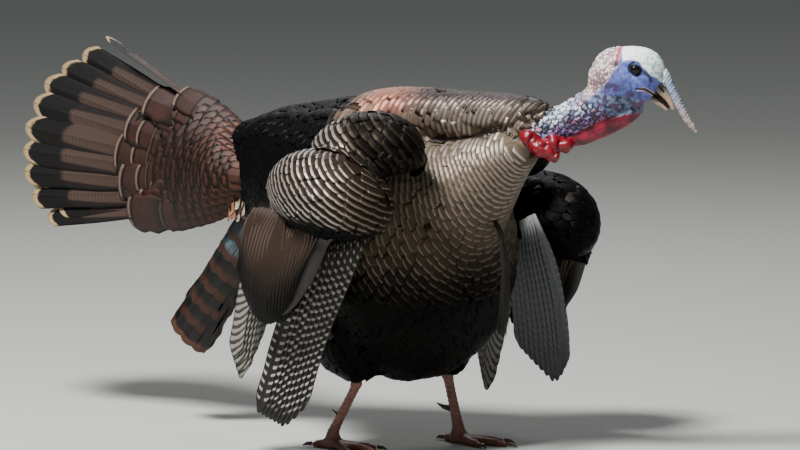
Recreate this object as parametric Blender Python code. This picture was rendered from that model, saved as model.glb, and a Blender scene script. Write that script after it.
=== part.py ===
"""A tom wild turkey at life size, walking in half display, as a still model.

Metres, +Z up, +X forward along the body and +Y to the bird's left. The body is laid out about a
point on the floor between the feet; the last step moves the whole model so that the middle of its
own box stands over the origin. Flesh and plumage are lofts through a few named rings, the tail is
a fan drawn in polar coordinates, and each piece is parted from its neighbours by a thin gap.
"""

import math
from collections import namedtuple

import bmesh
import bpy
from mathutils import Euler, Matrix, Vector

# ---- driving dimensions ------------------------------------------------------------------------
GAP = 0.0005                      # the parting between neighbouring pieces

FAN_CENTRE = Vector((-0.108, 0.0, 0.327))   # where the lines of the tail feathers would meet
FAN_LIFT = math.radians(6.4)
FAN_ROLL = math.radians(78)       # how far the fan is tipped over to the bird's right
FAN_HALF_SPREAD = math.radians(15.6)
FAN_ROOT = 0.148                  # the radius where the feathers leave the rump
TAIL_RADIUS = 0.536               # and where the middle ones end
TAIL_TIPS = 9                     # tips that show, each a pair of the eighteen feathers
TAIL_THICK = 0.0040
COVERT_RADIUS = 0.360

HEAD_AT = Vector((0.362, 0.071, 0.507))
HEAD_YAW = math.radians(33)
HEAD_PITCH = math.radians(-28)
EYE_RADIUS = 0.0078
EYE_AT = (0.0046, 0.0095, 0.0195)  # forward, up and out from the middle of the skull

PRIMARY_BLADES = 5                # each a pair of the ten primaries
BLADE_THICK = 0.0026

SHANK_RADIUS = 0.0078
TOE_RADIUS = 0.0066
CLAW_LENGTH = 0.014
MIDDLE_TOE, SIDE_TOE, HIND_TOE = 0.072, 0.054, 0.026
ANKLE_HEIGHT = 0.022

# name: (sRGB colour, roughness, metallic)
COLOURS = {
    "bronze_plumage": ((0.27, 0.22, 0.18), 0.45, 0.3),
    "black_plumage": ((0.05, 0.05, 0.055), 0.5, 0.2),
    "barred_plumage": ((0.42, 0.40, 0.37), 0.6, 0.0),
    "chestnut_plumage": ((0.42, 0.27, 0.19), 0.55, 0.1),
    "bare_skin": ((0.62, 0.66, 0.78), 0.5, 0.0),
    "red_skin": ((0.70, 0.10, 0.14), 0.4, 0.0),
    "horn": ((0.66, 0.56, 0.48), 0.4, 0.0),
    "leg_skin": ((0.50, 0.30, 0.28), 0.5, 0.0),
    "eye": ((0.03, 0.02, 0.02), 0.08, 0.0),
}

# One ring of a loft: its middle, the way it faces in degrees, and its half width, height and depth.
Ring = namedtuple("Ring", "x y z pitch yaw roll wide above below")


def ring(x, z, wide, above, below=None, y=0.0, pitch=0.0, yaw=0.0, roll=0.0):
    return Ring(x, y, z, pitch, yaw, roll, wide, above, above if below is None else below)


# ---- shapes ------------------------------------------------------------------------------------
def clear_scene():
    for obj in list(bpy.data.objects):
        bpy.data.objects.remove(obj, do_unlink=True)


def material(name):
    made = bpy.data.materials.get(name)
    if made:
        return made
    colour, roughness, metallic = COLOURS[name]
    made = bpy.data.materials.new(name)
    made.use_nodes = True
    shader = made.node_tree.nodes["Principled BSDF"]
    shader.inputs["Base Color"].default_value = (*[c**2.2 for c in colour], 1.0)
    shader.inputs["Roughness"].default_value = roughness
    shader.inputs["Metallic"].default_value = metallic
    return made


def object_from(name, bm, skin):
    """A scene object from a bmesh, in triangles that a grown copy shares, with normals out."""
    mesh = bpy.data.meshes.new(name)
    bmesh.ops.triangulate(bm, faces=bm.faces)
    bmesh.ops.recalc_face_normals(bm, faces=bm.faces)
    bm.to_mesh(mesh)
    bm.free()
    obj = bpy.data.objects.new(name, mesh)
    bpy.context.scene.collection.objects.link(obj)
    mesh.materials.append(material(skin))
    return obj


def smooth(rings, steps):
    """The rings with steps - 1 more between each two, on a smooth curve through them all."""
    made = []
    for i in range(len(rings) - 1):
        before, here, there, after = (
            rings[max(0, min(len(rings) - 1, k))] for k in (i - 1, i, i + 1, i + 2)
        )
        for step in range(steps):
            t = step / steps
            made.append(Ring(*[
                b + 0.5 * t * (c - a + t * (2 * a - 5 * b + 4 * c - d + t * (3 * (b - c) + d - a)))
                for a, b, c, d in zip(before, here, there, after)
            ]))
    return made + [rings[-1]]


def ring_points(r, sides, square):
    """Points round a ring; square is 1 for an ellipse, and less for a squarer one."""
    turn = Euler((math.radians(r.roll), -math.radians(r.pitch), math.radians(r.yaw)), "XYZ")
    frame = turn.to_matrix()
    for i in range(sides):
        angle = 2 * math.pi * i / sides
        c, s = math.cos(angle), math.sin(angle)
        across = r.wide * math.copysign(abs(c) ** square, c)
        up = (r.above if s > 0 else r.below) * math.copysign(abs(s) ** square, s)
        yield Vector((r.x, r.y, r.z)) + frame @ Vector((0.0, across, up))


def loft(name, rings, skin, sides=16, steps=1, square=1.0):
    """A closed skin drawn through the rings, with a shallow fan of faces over each end."""
    bm = bmesh.new()
    rows = [
        [bm.verts.new(p) for p in ring_points(r, sides, square)] for r in smooth(rings, steps)
    ]
    for a, b in zip(rows, rows[1:]):
        for i in range(sides):
            j = (i + 1) % sides
            bm.faces.new((a[i], a[j], b[j], b[i]))
    for row in (rows[0], rows[-1]):
        middle = bm.verts.new(sum((v.co for v in row), Vector()) / sides)
        for i in range(sides):
            bm.faces.new((row[i], row[(i + 1) % sides], middle))
    return object_from(name, bm, skin)


def ball(name, at, radius, skin, finely=2):
    bm = bmesh.new()
    bmesh.ops.create_icosphere(
        bm, subdivisions=finely, radius=radius, matrix=Matrix.Translation(at)
    )
    return object_from(name, bm, skin)


def slab(name, inner, outer, skin):
    """A closed plate from two matching grids of points, one for each of its faces."""
    bm = bmesh.new()
    grids = [[[bm.verts.new(p) for p in row] for row in grid] for grid in (inner, outer)]
    rows, columns = len(inner), len(inner[0])
    for grid in grids:
        for i in range(rows - 1):
            for j in range(columns - 1):
                bm.faces.new((grid[i][j], grid[i][j + 1], grid[i + 1][j + 1], grid[i + 1][j]))
    rim = (
        [(0, j) for j in range(columns)]
        + [(i, columns - 1) for i in range(1, rows)]
        + [(rows - 1, j) for j in range(columns - 2, -1, -1)]
        + [(i, 0) for i in range(rows - 2, 0, -1)]
    )
    for (i, j), (k, m) in zip(rim, rim[1:] + rim[:1]):
        bm.faces.new((grids[0][i][j], grids[1][i][j], grids[1][k][m], grids[0][k][m]))
    return object_from(name, bm, skin)


# ---- parting and joining -----------------------------------------------------------------------
def boolean(obj, other, operation):
    modifier = obj.modifiers.new(operation.title(), "BOOLEAN")
    modifier.operation = operation
    modifier.solver = "EXACT"
    modifier.object = other
    bpy.context.view_layer.update()
    evaluated = obj.evaluated_get(bpy.context.evaluated_depsgraph_get())
    mesh = bpy.data.meshes.new_from_object(evaluated)
    obj.modifiers.clear()
    obj.data = mesh
    without_slivers(mesh)
    return obj


def without_slivers(mesh, under=0.0002):
    """Closes the hair-thin faces that a cut leaves where two surfaces cross at a low angle."""
    bm = bmesh.new()
    bm.from_mesh(mesh)
    bmesh.ops.triangulate(bm, faces=bm.faces)
    bmesh.ops.dissolve_degenerate(bm, edges=bm.edges, dist=under)
    bmesh.ops.triangulate(bm, faces=bm.faces)
    bm.to_mesh(mesh)
    bm.free()


def remove(*objs):
    for obj in objs:
        bpy.data.objects.remove(obj, do_unlink=True)


def grown(obj, by=GAP):
    """A copy of the object whose surface stands out from it by a little."""
    copy = obj.copy()
    copy.data = obj.data.copy()
    bpy.context.scene.collection.objects.link(copy)
    normals = [v.normal.copy() for v in copy.data.vertices]
    for vertex, normal in zip(copy.data.vertices, normals):
        vertex.co += normal * by
    return copy


def part_from(obj, *others):
    """Cuts the others out of the object, leaving the gap between them."""
    for other in others:
        cutter = grown(other)
        boolean(obj, cutter, "DIFFERENCE")
        remove(cutter)
    return obj


def joined(first, *others):
    for other in others:
        boolean(first, other, "UNION")
        remove(other)
    return first


def region(at, facing, reach=1.0):
    """A big block that lies beyond the plane through a point, on the side that it faces."""
    bm = bmesh.new()
    turn = Vector(facing).normalized().to_track_quat("Z", "Y").to_matrix().to_4x4()
    bmesh.ops.create_cube(bm, size=2 * reach)
    bmesh.ops.translate(bm, verts=bm.verts, vec=(0, 0, reach + GAP / 2))
    bmesh.ops.transform(bm, verts=bm.verts, matrix=Matrix.Translation(at) @ turn)
    return object_from("region", bm, "bare_skin")


def split(obj, far_name, at, facing, skin):
    """Parts an object with a plane; what lies beyond it becomes a new object."""
    far = obj.copy()
    far.data = obj.data.copy()
    far.name = far_name
    bpy.context.scene.collection.objects.link(far)
    beyond, behind = region(at, facing), region(at, -Vector(facing))
    boolean(far, beyond, "INTERSECT")
    boolean(obj, behind, "INTERSECT")
    remove(beyond, behind)
    far.data.materials.clear()
    far.data.materials.append(material(skin))
    return far


# ---- body --------------------------------------------------------------------------------------
def trunk_form():
    """Rump, back and belly, from the tail root to the front of the breast."""
    return loft("trunk", [
        ring(-0.250, 0.358, 0.040, 0.054),
        ring(-0.222, 0.357, 0.052, 0.064),
        ring(-0.160, 0.344, 0.084, 0.098),
        ring(-0.085, 0.316, 0.122, 0.139),
        ring(-0.005, 0.288, 0.148, 0.178, 0.182),
        ring(0.060, 0.270, 0.156, 0.176, 0.184),
        ring(0.115, 0.262, 0.142, 0.150, 0.156),
        ring(0.150, 0.258, 0.106, 0.112, 0.116),
        ring(0.170, 0.257, 0.056, 0.062),
    ], "bronze_plumage", sides=18, steps=2)


def crop_form():
    """The breast feathers, drawn up as a cone to where the bare neck begins."""
    return loft("crop", [
        ring(0.050, 0.300, 0.110, 0.110, pitch=25),
        ring(0.120, 0.338, 0.098, 0.088, pitch=34),
        ring(0.178, 0.372, 0.064, 0.056, pitch=38),
        ring(0.222, 0.398, 0.040, 0.036, y=0.002, pitch=32, yaw=5),
        ring(0.252, 0.414, 0.026, 0.023, y=0.006, pitch=28, yaw=10),
    ], "bronze_plumage", sides=14)


def neck_form():
    """The feathered hind neck, a level tube laid over the breast."""
    return loft("neck", [
        ring(-0.070, 0.404, 0.058, 0.046, 0.060, pitch=6),
        ring(0.000, 0.426, 0.058, 0.047, 0.060, pitch=6),
        ring(0.070, 0.441, 0.048, 0.039, 0.036, pitch=3),
        ring(0.140, 0.446, 0.040, 0.034, 0.034, y=0.001, pitch=1, yaw=2),
        ring(0.200, 0.449, 0.035, 0.031, 0.031, y=0.005, pitch=1, yaw=6),
        ring(0.240, 0.452, 0.029, 0.027, 0.026, y=0.010, pitch=2, yaw=12),
        ring(0.268, 0.456, 0.022, 0.020, 0.018, y=0.015, pitch=4, yaw=20),
    ], "bronze_plumage", sides=12, steps=2)


def bare_neck_form():
    return loft("bare_neck", [
        ring(0.246, 0.436, 0.018, 0.019, y=0.002, pitch=6, yaw=30),
        ring(0.269, 0.437, 0.0185, 0.0195, y=0.012, pitch=14, yaw=38),
        ring(0.286, 0.442, 0.0190, 0.0205, y=0.026, pitch=22, yaw=37),
        ring(0.308, 0.455, 0.0200, 0.0225, y=0.042, pitch=30, yaw=34),
        ring(0.329, 0.471, 0.0215, 0.0250, y=0.055, pitch=38, yaw=33),
        ring(0.345, 0.487, 0.0220, 0.0265, y=0.062, pitch=46, yaw=33),
    ], "bare_skin", sides=16)


def head_place(forward, up, out=0.0, side=0):
    """A point in the head's own directions; side is -1 for the bird's right, 1 for its left."""
    turn = Euler((0, -HEAD_PITCH, HEAD_YAW), "XYZ").to_matrix()
    return HEAD_AT + turn @ Vector((forward, side * out, up))


def head_ring(forward, up, half, wide, tilt=0.0):
    """A ring across the head's middle plane, square to its axis or tilted up from it."""
    at = head_place(forward, up)
    return ring(
        at.x, at.z, wide, half, y=at.y,
        pitch=math.degrees(HEAD_PITCH) + tilt, yaw=math.degrees(HEAD_YAW),
    )


def between(forward, top, bottom, wide, tilt=0.0):
    """A ring of the head from a top to a bottom height."""
    return head_ring(forward, (top + bottom) / 2, (top - bottom) / 2, wide, tilt)


def head_form():
    return loft("head", [
        between(-0.0468, 0.002, -0.026, 0.0085),
        between(-0.0420, 0.012, -0.037, 0.0165),
        between(-0.0290, 0.0235, -0.043, 0.0220),
        between(-0.0100, 0.0350, -0.043, 0.0248),
        between(0.0080, 0.0405, -0.039, 0.0248),
        between(0.0240, 0.0385, -0.034, 0.0222),
        between(0.0350, 0.0305, -0.027, 0.0165),
        between(0.0420, 0.0190, -0.018, 0.0100),
    ], "bare_skin", sides=16, steps=2)


def bill_form(name, rings):
    return loft(name, [between(*r) for r in rings], "horn", sides=8, steps=2)


def upper_bill():
    """A ridge that bends down to a hook, with the mouth line below it."""
    return bill_form("bill_upper", [
        (0.0300, 0.0130, -0.0060, 0.0095, -4),
        (0.0440, 0.0085, -0.0075, 0.0078, -8),
        (0.0580, 0.0010, -0.0102, 0.0058, -14),
        (0.0675, -0.0070, -0.0146, 0.0036, -26),
        (0.0718, -0.0126, -0.0178, 0.0018, -40),
    ])


def lower_bill():
    return bill_form("bill_lower", [
        (0.0290, -0.0095, -0.0205, 0.0088, -8),
        (0.0420, -0.0108, -0.0200, 0.0070, -8),
        (0.0550, -0.0136, -0.0202, 0.0048, -8),
        (0.0655, -0.0172, -0.0213, 0.0024, -8),
    ])


def along_path(places):
    """Head rings (forward, up, half height, half width), each square to the path they follow."""
    rings = []
    for i, (forward, up, half, wide) in enumerate(places):
        before, after = places[max(i - 1, 0)], places[min(i + 1, len(places) - 1)]
        tilt = math.degrees(math.atan2(after[1] - before[1], after[0] - before[0]))
        rings.append(head_ring(forward, up, half, wide, tilt))
    return rings


def snood_form():
    """The long soft finger that starts over the bill and hangs past its tip."""
    return loft("snood", along_path([
        (0.0330, 0.0200, 0.0085, 0.0085),
        (0.0430, 0.0170, 0.0070, 0.0075),
        (0.0540, 0.0088, 0.0056, 0.0062),
        (0.0675, -0.0004, 0.0053, 0.0058),
        (0.0816, -0.0104, 0.0050, 0.0054),
        (0.0952, -0.0190, 0.0045, 0.0050),
        (0.1065, -0.0243, 0.0036, 0.0040),
        (0.1136, -0.0267, 0.0016, 0.0018),
    ]), "bare_skin", sides=8)


def dewlap_form():
    """The thin red flap under the throat, from the chin down the front of the neck."""
    return loft("dewlap", along_path([
        (-0.0440, -0.1260, 0.0050, 0.0060),
        (-0.0337, -0.1225, 0.0075, 0.0075),
        (-0.0124, -0.1000, 0.0115, 0.0085),
        (0.0045, -0.0780, 0.0130, 0.0085),
        (0.0200, -0.0570, 0.0120, 0.0080),
        (0.0300, -0.0420, 0.0090, 0.0065),
        (0.0350, -0.0300, 0.0050, 0.0045),
    ]), "red_skin", sides=10)


def caruncle_form():
    """The cluster of red knobs at the base of the bare neck, joined into one."""
    knobs = [  # x, y, z, radius
        (0.260, -0.008, 0.420, 0.0120), (0.274, -0.006, 0.410, 0.0112),
        (0.289, 0.002, 0.400, 0.0090), (0.286, 0.007, 0.414, 0.0115),
        (0.301, 0.017, 0.413, 0.0095),
    ]
    balls = [ball(f"knob_{i}", k[:3], k[3], "red_skin") for i, k in enumerate(knobs)]
    cluster = joined(*balls)
    cluster.name = "caruncles"
    return cluster


def beard_form():
    """The bristle tuft that hangs from the middle of the breast."""
    return loft("beard", [
        ring(0.176, 0.338, 0.0060, 0.0060, pitch=-40),
        ring(0.200, 0.322, 0.0075, 0.0065, pitch=-66),
        ring(0.212, 0.285, 0.0085, 0.0065, pitch=-84),
        ring(0.213, 0.230, 0.0085, 0.0060, pitch=-92),
        ring(0.209, 0.185, 0.0065, 0.0045, pitch=-96),
        ring(0.206, 0.162, 0.0025, 0.0020, pitch=-96),
    ], "black_plumage", sides=8)


# ---- tail --------------------------------------------------------------------------------------
def fan_point(radius, angle, lift):
    """A point of the fan: radius and angle in its plane, and lift off its upper face."""
    out = Vector((-math.cos(FAN_LIFT), 0, math.sin(FAN_LIFT)))
    upright = Vector((math.sin(FAN_LIFT), 0, math.cos(FAN_LIFT)))
    left = Vector((0, 1, 0))
    across = left * math.cos(FAN_ROLL) + upright * math.sin(FAN_ROLL)
    off = upright * math.cos(FAN_ROLL) - left * math.sin(FAN_ROLL)
    in_plane = out * math.cos(angle) + across * math.sin(angle)
    return FAN_CENTRE + in_plane * radius + off * lift


def fan_reach(share, tips, radius):
    """Where a scalloped fan ends; share runs from -1 to 1 across it, and its edges are shorter."""
    notch = 0.030 * (abs((share + 1) / 2 * tips % 1.0 - 0.5) * 2) ** 3
    return radius * (1 - notch) * (1 - 0.15 * share**2)


def fan(name, radius, tips, thick, base, half_width, skin, across, along):
    """A closed fan; thick, base and half_width are functions of the way out along it."""
    columns = tips * across
    low, high = [], []
    for i in range(along + 1):
        way = math.sin(i / along * math.pi / 2)
        low_row, high_row = [], []
        for j in range(columns + 1):
            share = 2 * j / columns - 1
            at = FAN_ROOT + (fan_reach(share, tips, radius) - FAN_ROOT) * way
            angle = share * half_width(way)
            dome = 1 - 0.6 * share**2
            low_row.append(fan_point(at, angle, base))
            high_row.append(fan_point(at, angle, base + thick(way) * dome))
        low.append(low_row)
        high.append(high_row)
    return slab(name, low, high, skin)


def tail_form():
    return fan(
        "tail", TAIL_RADIUS, TAIL_TIPS, lambda way: TAIL_THICK * (1.2 - 0.8 * way), -TAIL_THICK,
        lambda way: FAN_HALF_SPREAD, "chestnut_plumage", across=3, along=3,
    )


def tail_covert_form():
    """The thick pad of covert rows that lies on the fan's upper face."""
    return fan(
        "tail_coverts", COVERT_RADIUS, 7, lambda way: 0.003 + 0.040 * (1 - way) ** 1.4,
        TAIL_THICK + GAP, lambda way: FAN_HALF_SPREAD * (1.6 - 0.6 * way), "chestnut_plumage",
        across=3, along=4,
    )


def loose_tail_feather():
    """The outermost feather on the fan's top edge, turned on edge and standing clear."""
    half_width, half_thick = 0.017, 0.0008
    angle = FAN_HALF_SPREAD + math.radians(3.2)
    low, high = [], []
    for i in range(7):
        t = i / 6
        radius = 0.185 + 0.258 * t
        wide = half_width * (0.45 + 1.1 * t - 0.75 * t * t) * (1 if i < 6 else 0.4)
        low.append([fan_point(radius, angle - half_thick / radius, s * wide) for s in (-1, 1)])
        high.append([fan_point(radius, angle + half_thick / radius, s * wide) for s in (-1, 1)])
    return slab("tail_outer_feather", low, high, "chestnut_plumage")


def undertail_form():
    """The stack of long under tail coverts that hangs behind the legs."""
    return loft("undertail_coverts", [
        ring(-0.190, 0.310, 0.030, 0.034, pitch=-122),
        ring(-0.228, 0.256, 0.032, 0.029, pitch=-124),
        ring(-0.268, 0.200, 0.030, 0.028, y=-0.004, pitch=-123),
        ring(-0.305, 0.151, 0.022, 0.033, y=-0.008, pitch=-118),
        ring(-0.326, 0.127, 0.010, 0.040, y=-0.010, pitch=-107),
        ring(-0.331, 0.119, 0.004, 0.039, y=-0.010, pitch=-103),
    ], "chestnut_plumage", sides=12, square=0.9)


# ---- wings -------------------------------------------------------------------------------------
# Both wings are laid out on the left. The bird holds the right one higher and further back.
Wing = namedtuple("Wing", "side tag shoulder forearm shield tip_rows")

# tip_rows: (root, tip, bow) of the leading blade, then of the one next to the secondaries.
RIGHT_WING = Wing(
    -1, "right", Vector((0.090, 0.136, 0.412)), Vector((0.078, 0.201, 0.352)),
    Vector((0.008, 0.216, 0.260)),
    (
        (Vector((0.112, 0.174, 0.300)), Vector((0.020, 0.209, 0.046)), -0.014),
        (Vector((0.024, 0.180, 0.280)), Vector((-0.040, 0.209, 0.036)), 0.0),
    ),
)
LEFT_WING = Wing(
    1, "left", Vector((0.076, 0.140, 0.388)), Vector((0.106, 0.207, 0.296)),
    Vector((0.086, 0.222, 0.210)),
    (
        (Vector((0.150, 0.152, 0.305)), Vector((0.148, 0.225, 0.074)), 0.014),
        (Vector((0.098, 0.156, 0.285)), Vector((0.066, 0.223, 0.062)), 0.0),
    ),
)


def placed(rings, wing, at):
    """Rings laid out round a point of the left wing, set on the wing's own side."""
    return [
        r._replace(x=r.x + at.x, y=wing.side * (r.y + at.y), z=r.z + at.z,
                   yaw=wing.side * r.yaw, roll=wing.side * r.roll)
        for r in rings
    ]


def wing_shoulder(wing):
    """The raised hump of shoulder feathers over the upper arm."""
    return loft(f"wing_{wing.tag}_shoulder", placed([
        ring(-0.094, -0.012, 0.018, 0.014, y=-0.016),
        ring(-0.070, -0.008, 0.038, 0.030, y=-0.012),
        ring(-0.018, 0.000, 0.049, 0.043, y=-0.002),
        ring(0.036, 0.004, 0.051, 0.044),
        ring(0.070, 0.000, 0.040, 0.034),
        ring(0.088, -0.004, 0.018, 0.016, y=-0.002),
    ], wing, wing.shoulder), "bronze_plumage", sides=12, steps=2)


def wing_forearm(wing):
    """The fat pad of coverts over the forearm, lower and further out."""
    return loft(f"wing_{wing.tag}_forearm", placed([
        ring(-0.094, 0.004, 0.020, 0.020, y=-0.010),
        ring(-0.076, 0.006, 0.038, 0.038, y=-0.008),
        ring(-0.030, 0.004, 0.058, 0.057),
        ring(0.024, -0.001, 0.061, 0.060),
        ring(0.070, -0.008, 0.046, 0.047, y=-0.004),
        ring(0.094, -0.012, 0.020, 0.022, y=-0.010),
    ], wing, wing.forearm), "bronze_plumage", sides=12, steps=2)


def wing_shield(wing):
    """The smooth brown shield of long coverts below the forearm."""
    return loft(f"wing_{wing.tag}_coverts", placed([
        ring(0.028, 0.070, 0.016, 0.058, y=-0.010, pitch=-90),
        ring(0.026, 0.025, 0.019, 0.066, pitch=-90),
        ring(0.012, -0.012, 0.017, 0.062, y=0.004, pitch=-94),
        ring(-0.003, -0.048, 0.012, 0.050, y=0.004, pitch=-94),
        ring(-0.009, -0.068, 0.008, 0.036, y=0.003, pitch=-92),
        ring(-0.011, -0.078, 0.003, 0.016, y=0.002, pitch=-90),
    ], wing, wing.shield), "bronze_plumage", sides=14, square=0.9)


def wing_secondaries(wing):
    """The pale barred secondaries that show behind the shield."""
    return loft(f"wing_{wing.tag}_secondaries", placed([
        ring(-0.036, 0.040, 0.006, 0.034, y=-0.024, pitch=-90),
        ring(-0.050, -0.020, 0.007, 0.036, y=-0.021, pitch=-97),
        ring(-0.063, -0.080, 0.006, 0.031, y=-0.018, pitch=-97),
        ring(-0.070, -0.130, 0.004, 0.021, y=-0.015, pitch=-94),
        ring(-0.073, -0.166, 0.0012, 0.008, y=-0.014, pitch=-92),
    ], wing, wing.shield), "barred_plumage", sides=10, square=0.9)


def primary_blade(wing, number):
    """One drooping pair of primaries: a narrow curved blade from the wrist to its tip."""
    share = number / (PRIMARY_BLADES - 1)          # 0 at the leading edge, 1 next to the body
    root, tip, bow = (a + (b - a) * share for a, b in zip(*wing.tip_rows))
    layer = (BLADE_THICK + 4 * GAP) * (number - PRIMARY_BLADES + 1)
    rings = []
    for t in (0.0, 0.25, 0.5, 0.75, 0.92, 1.0):
        at = root.lerp(tip, t) + Vector((bow * 4 * t * (1 - t), layer, 0))
        way = tip - root + Vector((bow * 4 * (1 - 2 * t), 0, 0))
        wide = 0.0115 * (0.85 + 0.8 * t - 0.35 * t * t) * (1 - 0.88 * t**9)
        rings.append(ring(at.x, at.z, BLADE_THICK / 2, wide, y=at.y,
                          pitch=math.degrees(math.atan2(way.z, way.x))))
    return loft(f"wing_{wing.tag}_primaries_{number + 1}", placed(rings, wing, Vector()),
                "barred_plumage", sides=6, square=0.8)


def whole_wing(wing):
    """A whole wing, hung from the shoulder with its tip just off the floor."""
    shoulder = wing_shoulder(wing)
    forearm = part_from(wing_forearm(wing), shoulder)
    shield = part_from(wing_shield(wing), forearm)
    secondaries = part_from(wing_secondaries(wing), forearm, shield)
    blades = [
        part_from(primary_blade(wing, number), forearm, shield, secondaries)
        for number in range(PRIMARY_BLADES)
    ]
    return shoulder, forearm, shield, secondaries, blades


# ---- legs --------------------------------------------------------------------------------------
Leg = namedtuple("Leg", "side tag hem toes yaw")   # hem of the thigh, root of the toes

RIGHT_LEG = Leg(-1, "right", Vector((0.022, -0.072, 0.090)), Vector((-0.018, -0.074, 0.0)), -4)
LEFT_LEG = Leg(1, "left", Vector((0.056, 0.072, 0.090)), Vector((0.074, 0.074, 0.0)), 6)


def thigh(leg):
    """The feathered thigh, a drumstick that ends in a hem round the shank."""
    x, y, z = leg.hem
    return loft(f"leg_{leg.tag}_thigh", [
        ring(0.020, 0.215, 0.056, 0.070, y=leg.side * 0.078, pitch=-90),
        ring(x * 0.6, 0.160, 0.054, 0.064, y=leg.side * 0.080, pitch=-90),
        ring(x * 0.8 - 0.004, 0.116, 0.038, 0.046, y=leg.side * 0.076, pitch=-90),
        ring(x - 0.002, z + 0.007, 0.020, 0.026, y=y, pitch=-90),
        ring(x, z, 0.012, 0.014, y=y, pitch=-90),
    ], "black_plumage", sides=12, steps=2)


def shank(leg):
    """The bare lower leg, from the hem of the thigh down to the toes."""
    foot_top = leg.toes + Vector((-0.001, 0, ANKLE_HEIGHT))
    start = leg.hem + Vector((0, 0, -GAP))
    rings = []
    for t, scale in ((0.0, 1.0), (0.35, 0.92), (0.75, 0.95), (1.0, 1.12)):
        at = start.lerp(foot_top, t)
        rings.append(ring(at.x, at.z, SHANK_RADIUS * 0.85 * scale, SHANK_RADIUS * scale, y=at.y,
                          pitch=-90))
    return loft(f"leg_{leg.tag}_shank", rings, "leg_skin", sides=10)


def toe_ways(leg):
    """Name, heading and length of each toe."""
    for name, angle, length in (
        ("inner", -leg.side * 27, SIDE_TOE), ("middle", 0, MIDDLE_TOE),
        ("outer", leg.side * 27, SIDE_TOE), ("hind", 180 - leg.side * 16, HIND_TOE),
    ):
        yield name, math.radians(angle + leg.yaw), length


def toe_start(leg, heading):
    return leg.toes + Vector((math.cos(heading), math.sin(heading), 0)) * 0.006


def foot(leg):
    """Three front toes and a hind toe joined at the ball, cut level with the floor."""
    x, y, _ = leg.toes
    whole = loft(f"leg_{leg.tag}_foot", [
        ring(x, -0.004, 0.0105, 0.012, y=y, pitch=90),
        ring(x, 0.008, 0.0115, 0.013, y=y, pitch=90),
        ring(x - 0.001, ANKLE_HEIGHT - GAP, 0.0078, 0.0090, y=y, pitch=90),
    ], "leg_skin", sides=10)
    for name, heading, length in toe_ways(leg):
        start = toe_start(leg, heading)
        way = Vector((math.cos(heading), math.sin(heading), 0))
        rings = []
        for t, scale in ((-0.08, 0.8), (0.16, 1.1), (0.6, 0.98), (1.0, 0.66)):
            radius = TOE_RADIUS * scale
            at = start + way * length * t
            rings.append(ring(at.x, radius * 0.8, radius, radius, y=at.y,
                              yaw=math.degrees(heading)))
        joined(whole, loft(name, rings, "leg_skin", sides=6))
    above_floor = region(Vector((x, y, -GAP / 2)), (0, 0, 1))
    boolean(whole, above_floor, "INTERSECT")
    remove(above_floor)
    return whole


def claw(leg, name, heading, length):
    """A blunt horn claw that curves down to the floor."""
    way = Vector((math.cos(heading), math.sin(heading), 0))
    start = toe_start(leg, heading) + way * (length + GAP)
    rings = []
    for t, radius, height in ((0.0, 0.0034, 0.0046), (0.5, 0.0026, 0.0042), (1.0, 0.0008, 0.0014)):
        at = start + way * CLAW_LENGTH * t
        rings.append(ring(at.x, height, radius, radius, y=at.y, pitch=-30 * t,
                          yaw=math.degrees(heading)))
    return loft(f"claw_{leg.tag}_{name}", rings, "horn", sides=6)


def spur(leg):
    """The tom's spur, a short horn on the inner back of the shank."""
    at = leg.hem.lerp(leg.toes, 0.5)
    rings = []
    for t, radius in ((0.0, 0.0050), (0.5, 0.0036), (1.0, 0.0010)):
        rings.append(ring(at.x - 0.004 - 0.022 * t, at.z + 0.006 * t * t, radius, radius,
                          y=at.y - leg.side * 0.003 * t, pitch=180 - 16 * t))
    return loft(f"spur_{leg.tag}", rings, "horn", sides=6)


def whole_leg(leg):
    lower = shank(leg)
    foot(leg)
    for way in toe_ways(leg):
        claw(leg, *way)
    part_from(spur(leg), lower)
    return thigh(leg)


# ---- assembly ----------------------------------------------------------------------------------
def eye(side, tag):
    forward, up, out = EYE_AT
    return ball(f"eye_{tag}", head_place(forward, up, out, side), EYE_RADIUS, "eye")


def bare_head():
    """The bare neck and head modelled as one, then parted, with all that sits on them."""
    bare = joined(bare_neck_form(), head_form())
    bare.name = "neck_bare"
    head = split(bare, "head", Vector((0.331, 0.057, 0.474)), (0.62, 0.38, 0.69), "bare_skin")
    upper, lower = upper_bill(), lower_bill()
    part_from(head, eye(-1, "right"), eye(1, "left"), upper, lower)
    part_from(snood_form(), head, upper)
    dewlap = part_from(dewlap_form(), head, bare, lower)
    return bare, dewlap


def centre_on_floor(objs):
    """Moves the model so that the middle of its box stands over the origin."""
    corners = [v.co for obj in objs for v in obj.data.vertices]
    shift = Vector(-(max(c[i] for c in corners) + min(c[i] for c in corners)) / 2 for i in (0, 1))
    for obj in objs:
        obj.data.transform(Matrix.Translation((*shift, 0)))


def build():
    clear_scene()
    neck = neck_form()
    bare, dewlap = bare_head()
    part_from(bare, neck)
    trunk = joined(trunk_form(), crop_form())
    part_from(trunk, neck, bare)
    rump = split(trunk, "rump", Vector((-0.130, 0, 0.34)), (-1, 0, 0.10), "black_plumage")
    part_from(caruncle_form(), trunk, bare, dewlap, neck)
    part_from(beard_form(), trunk)

    for wing in (RIGHT_WING, LEFT_WING):
        shoulder, forearm, *_ = whole_wing(wing)
        part_from(trunk, shoulder, forearm)
    tail = part_from(tail_form(), rump)
    coverts = part_from(tail_covert_form(), rump)
    part_from(loose_tail_feather(), coverts, tail)
    part_from(undertail_form(), rump, trunk, tail)
    for leg in (RIGHT_LEG, LEFT_LEG):
        part_from(whole_leg(leg), trunk)

    pieces = list(bpy.data.objects)
    centre_on_floor(pieces)
    for obj in pieces:
        obj.data.shade_smooth()
        obj.data.set_sharp_from_angle(angle=math.radians(40))


build()
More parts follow.
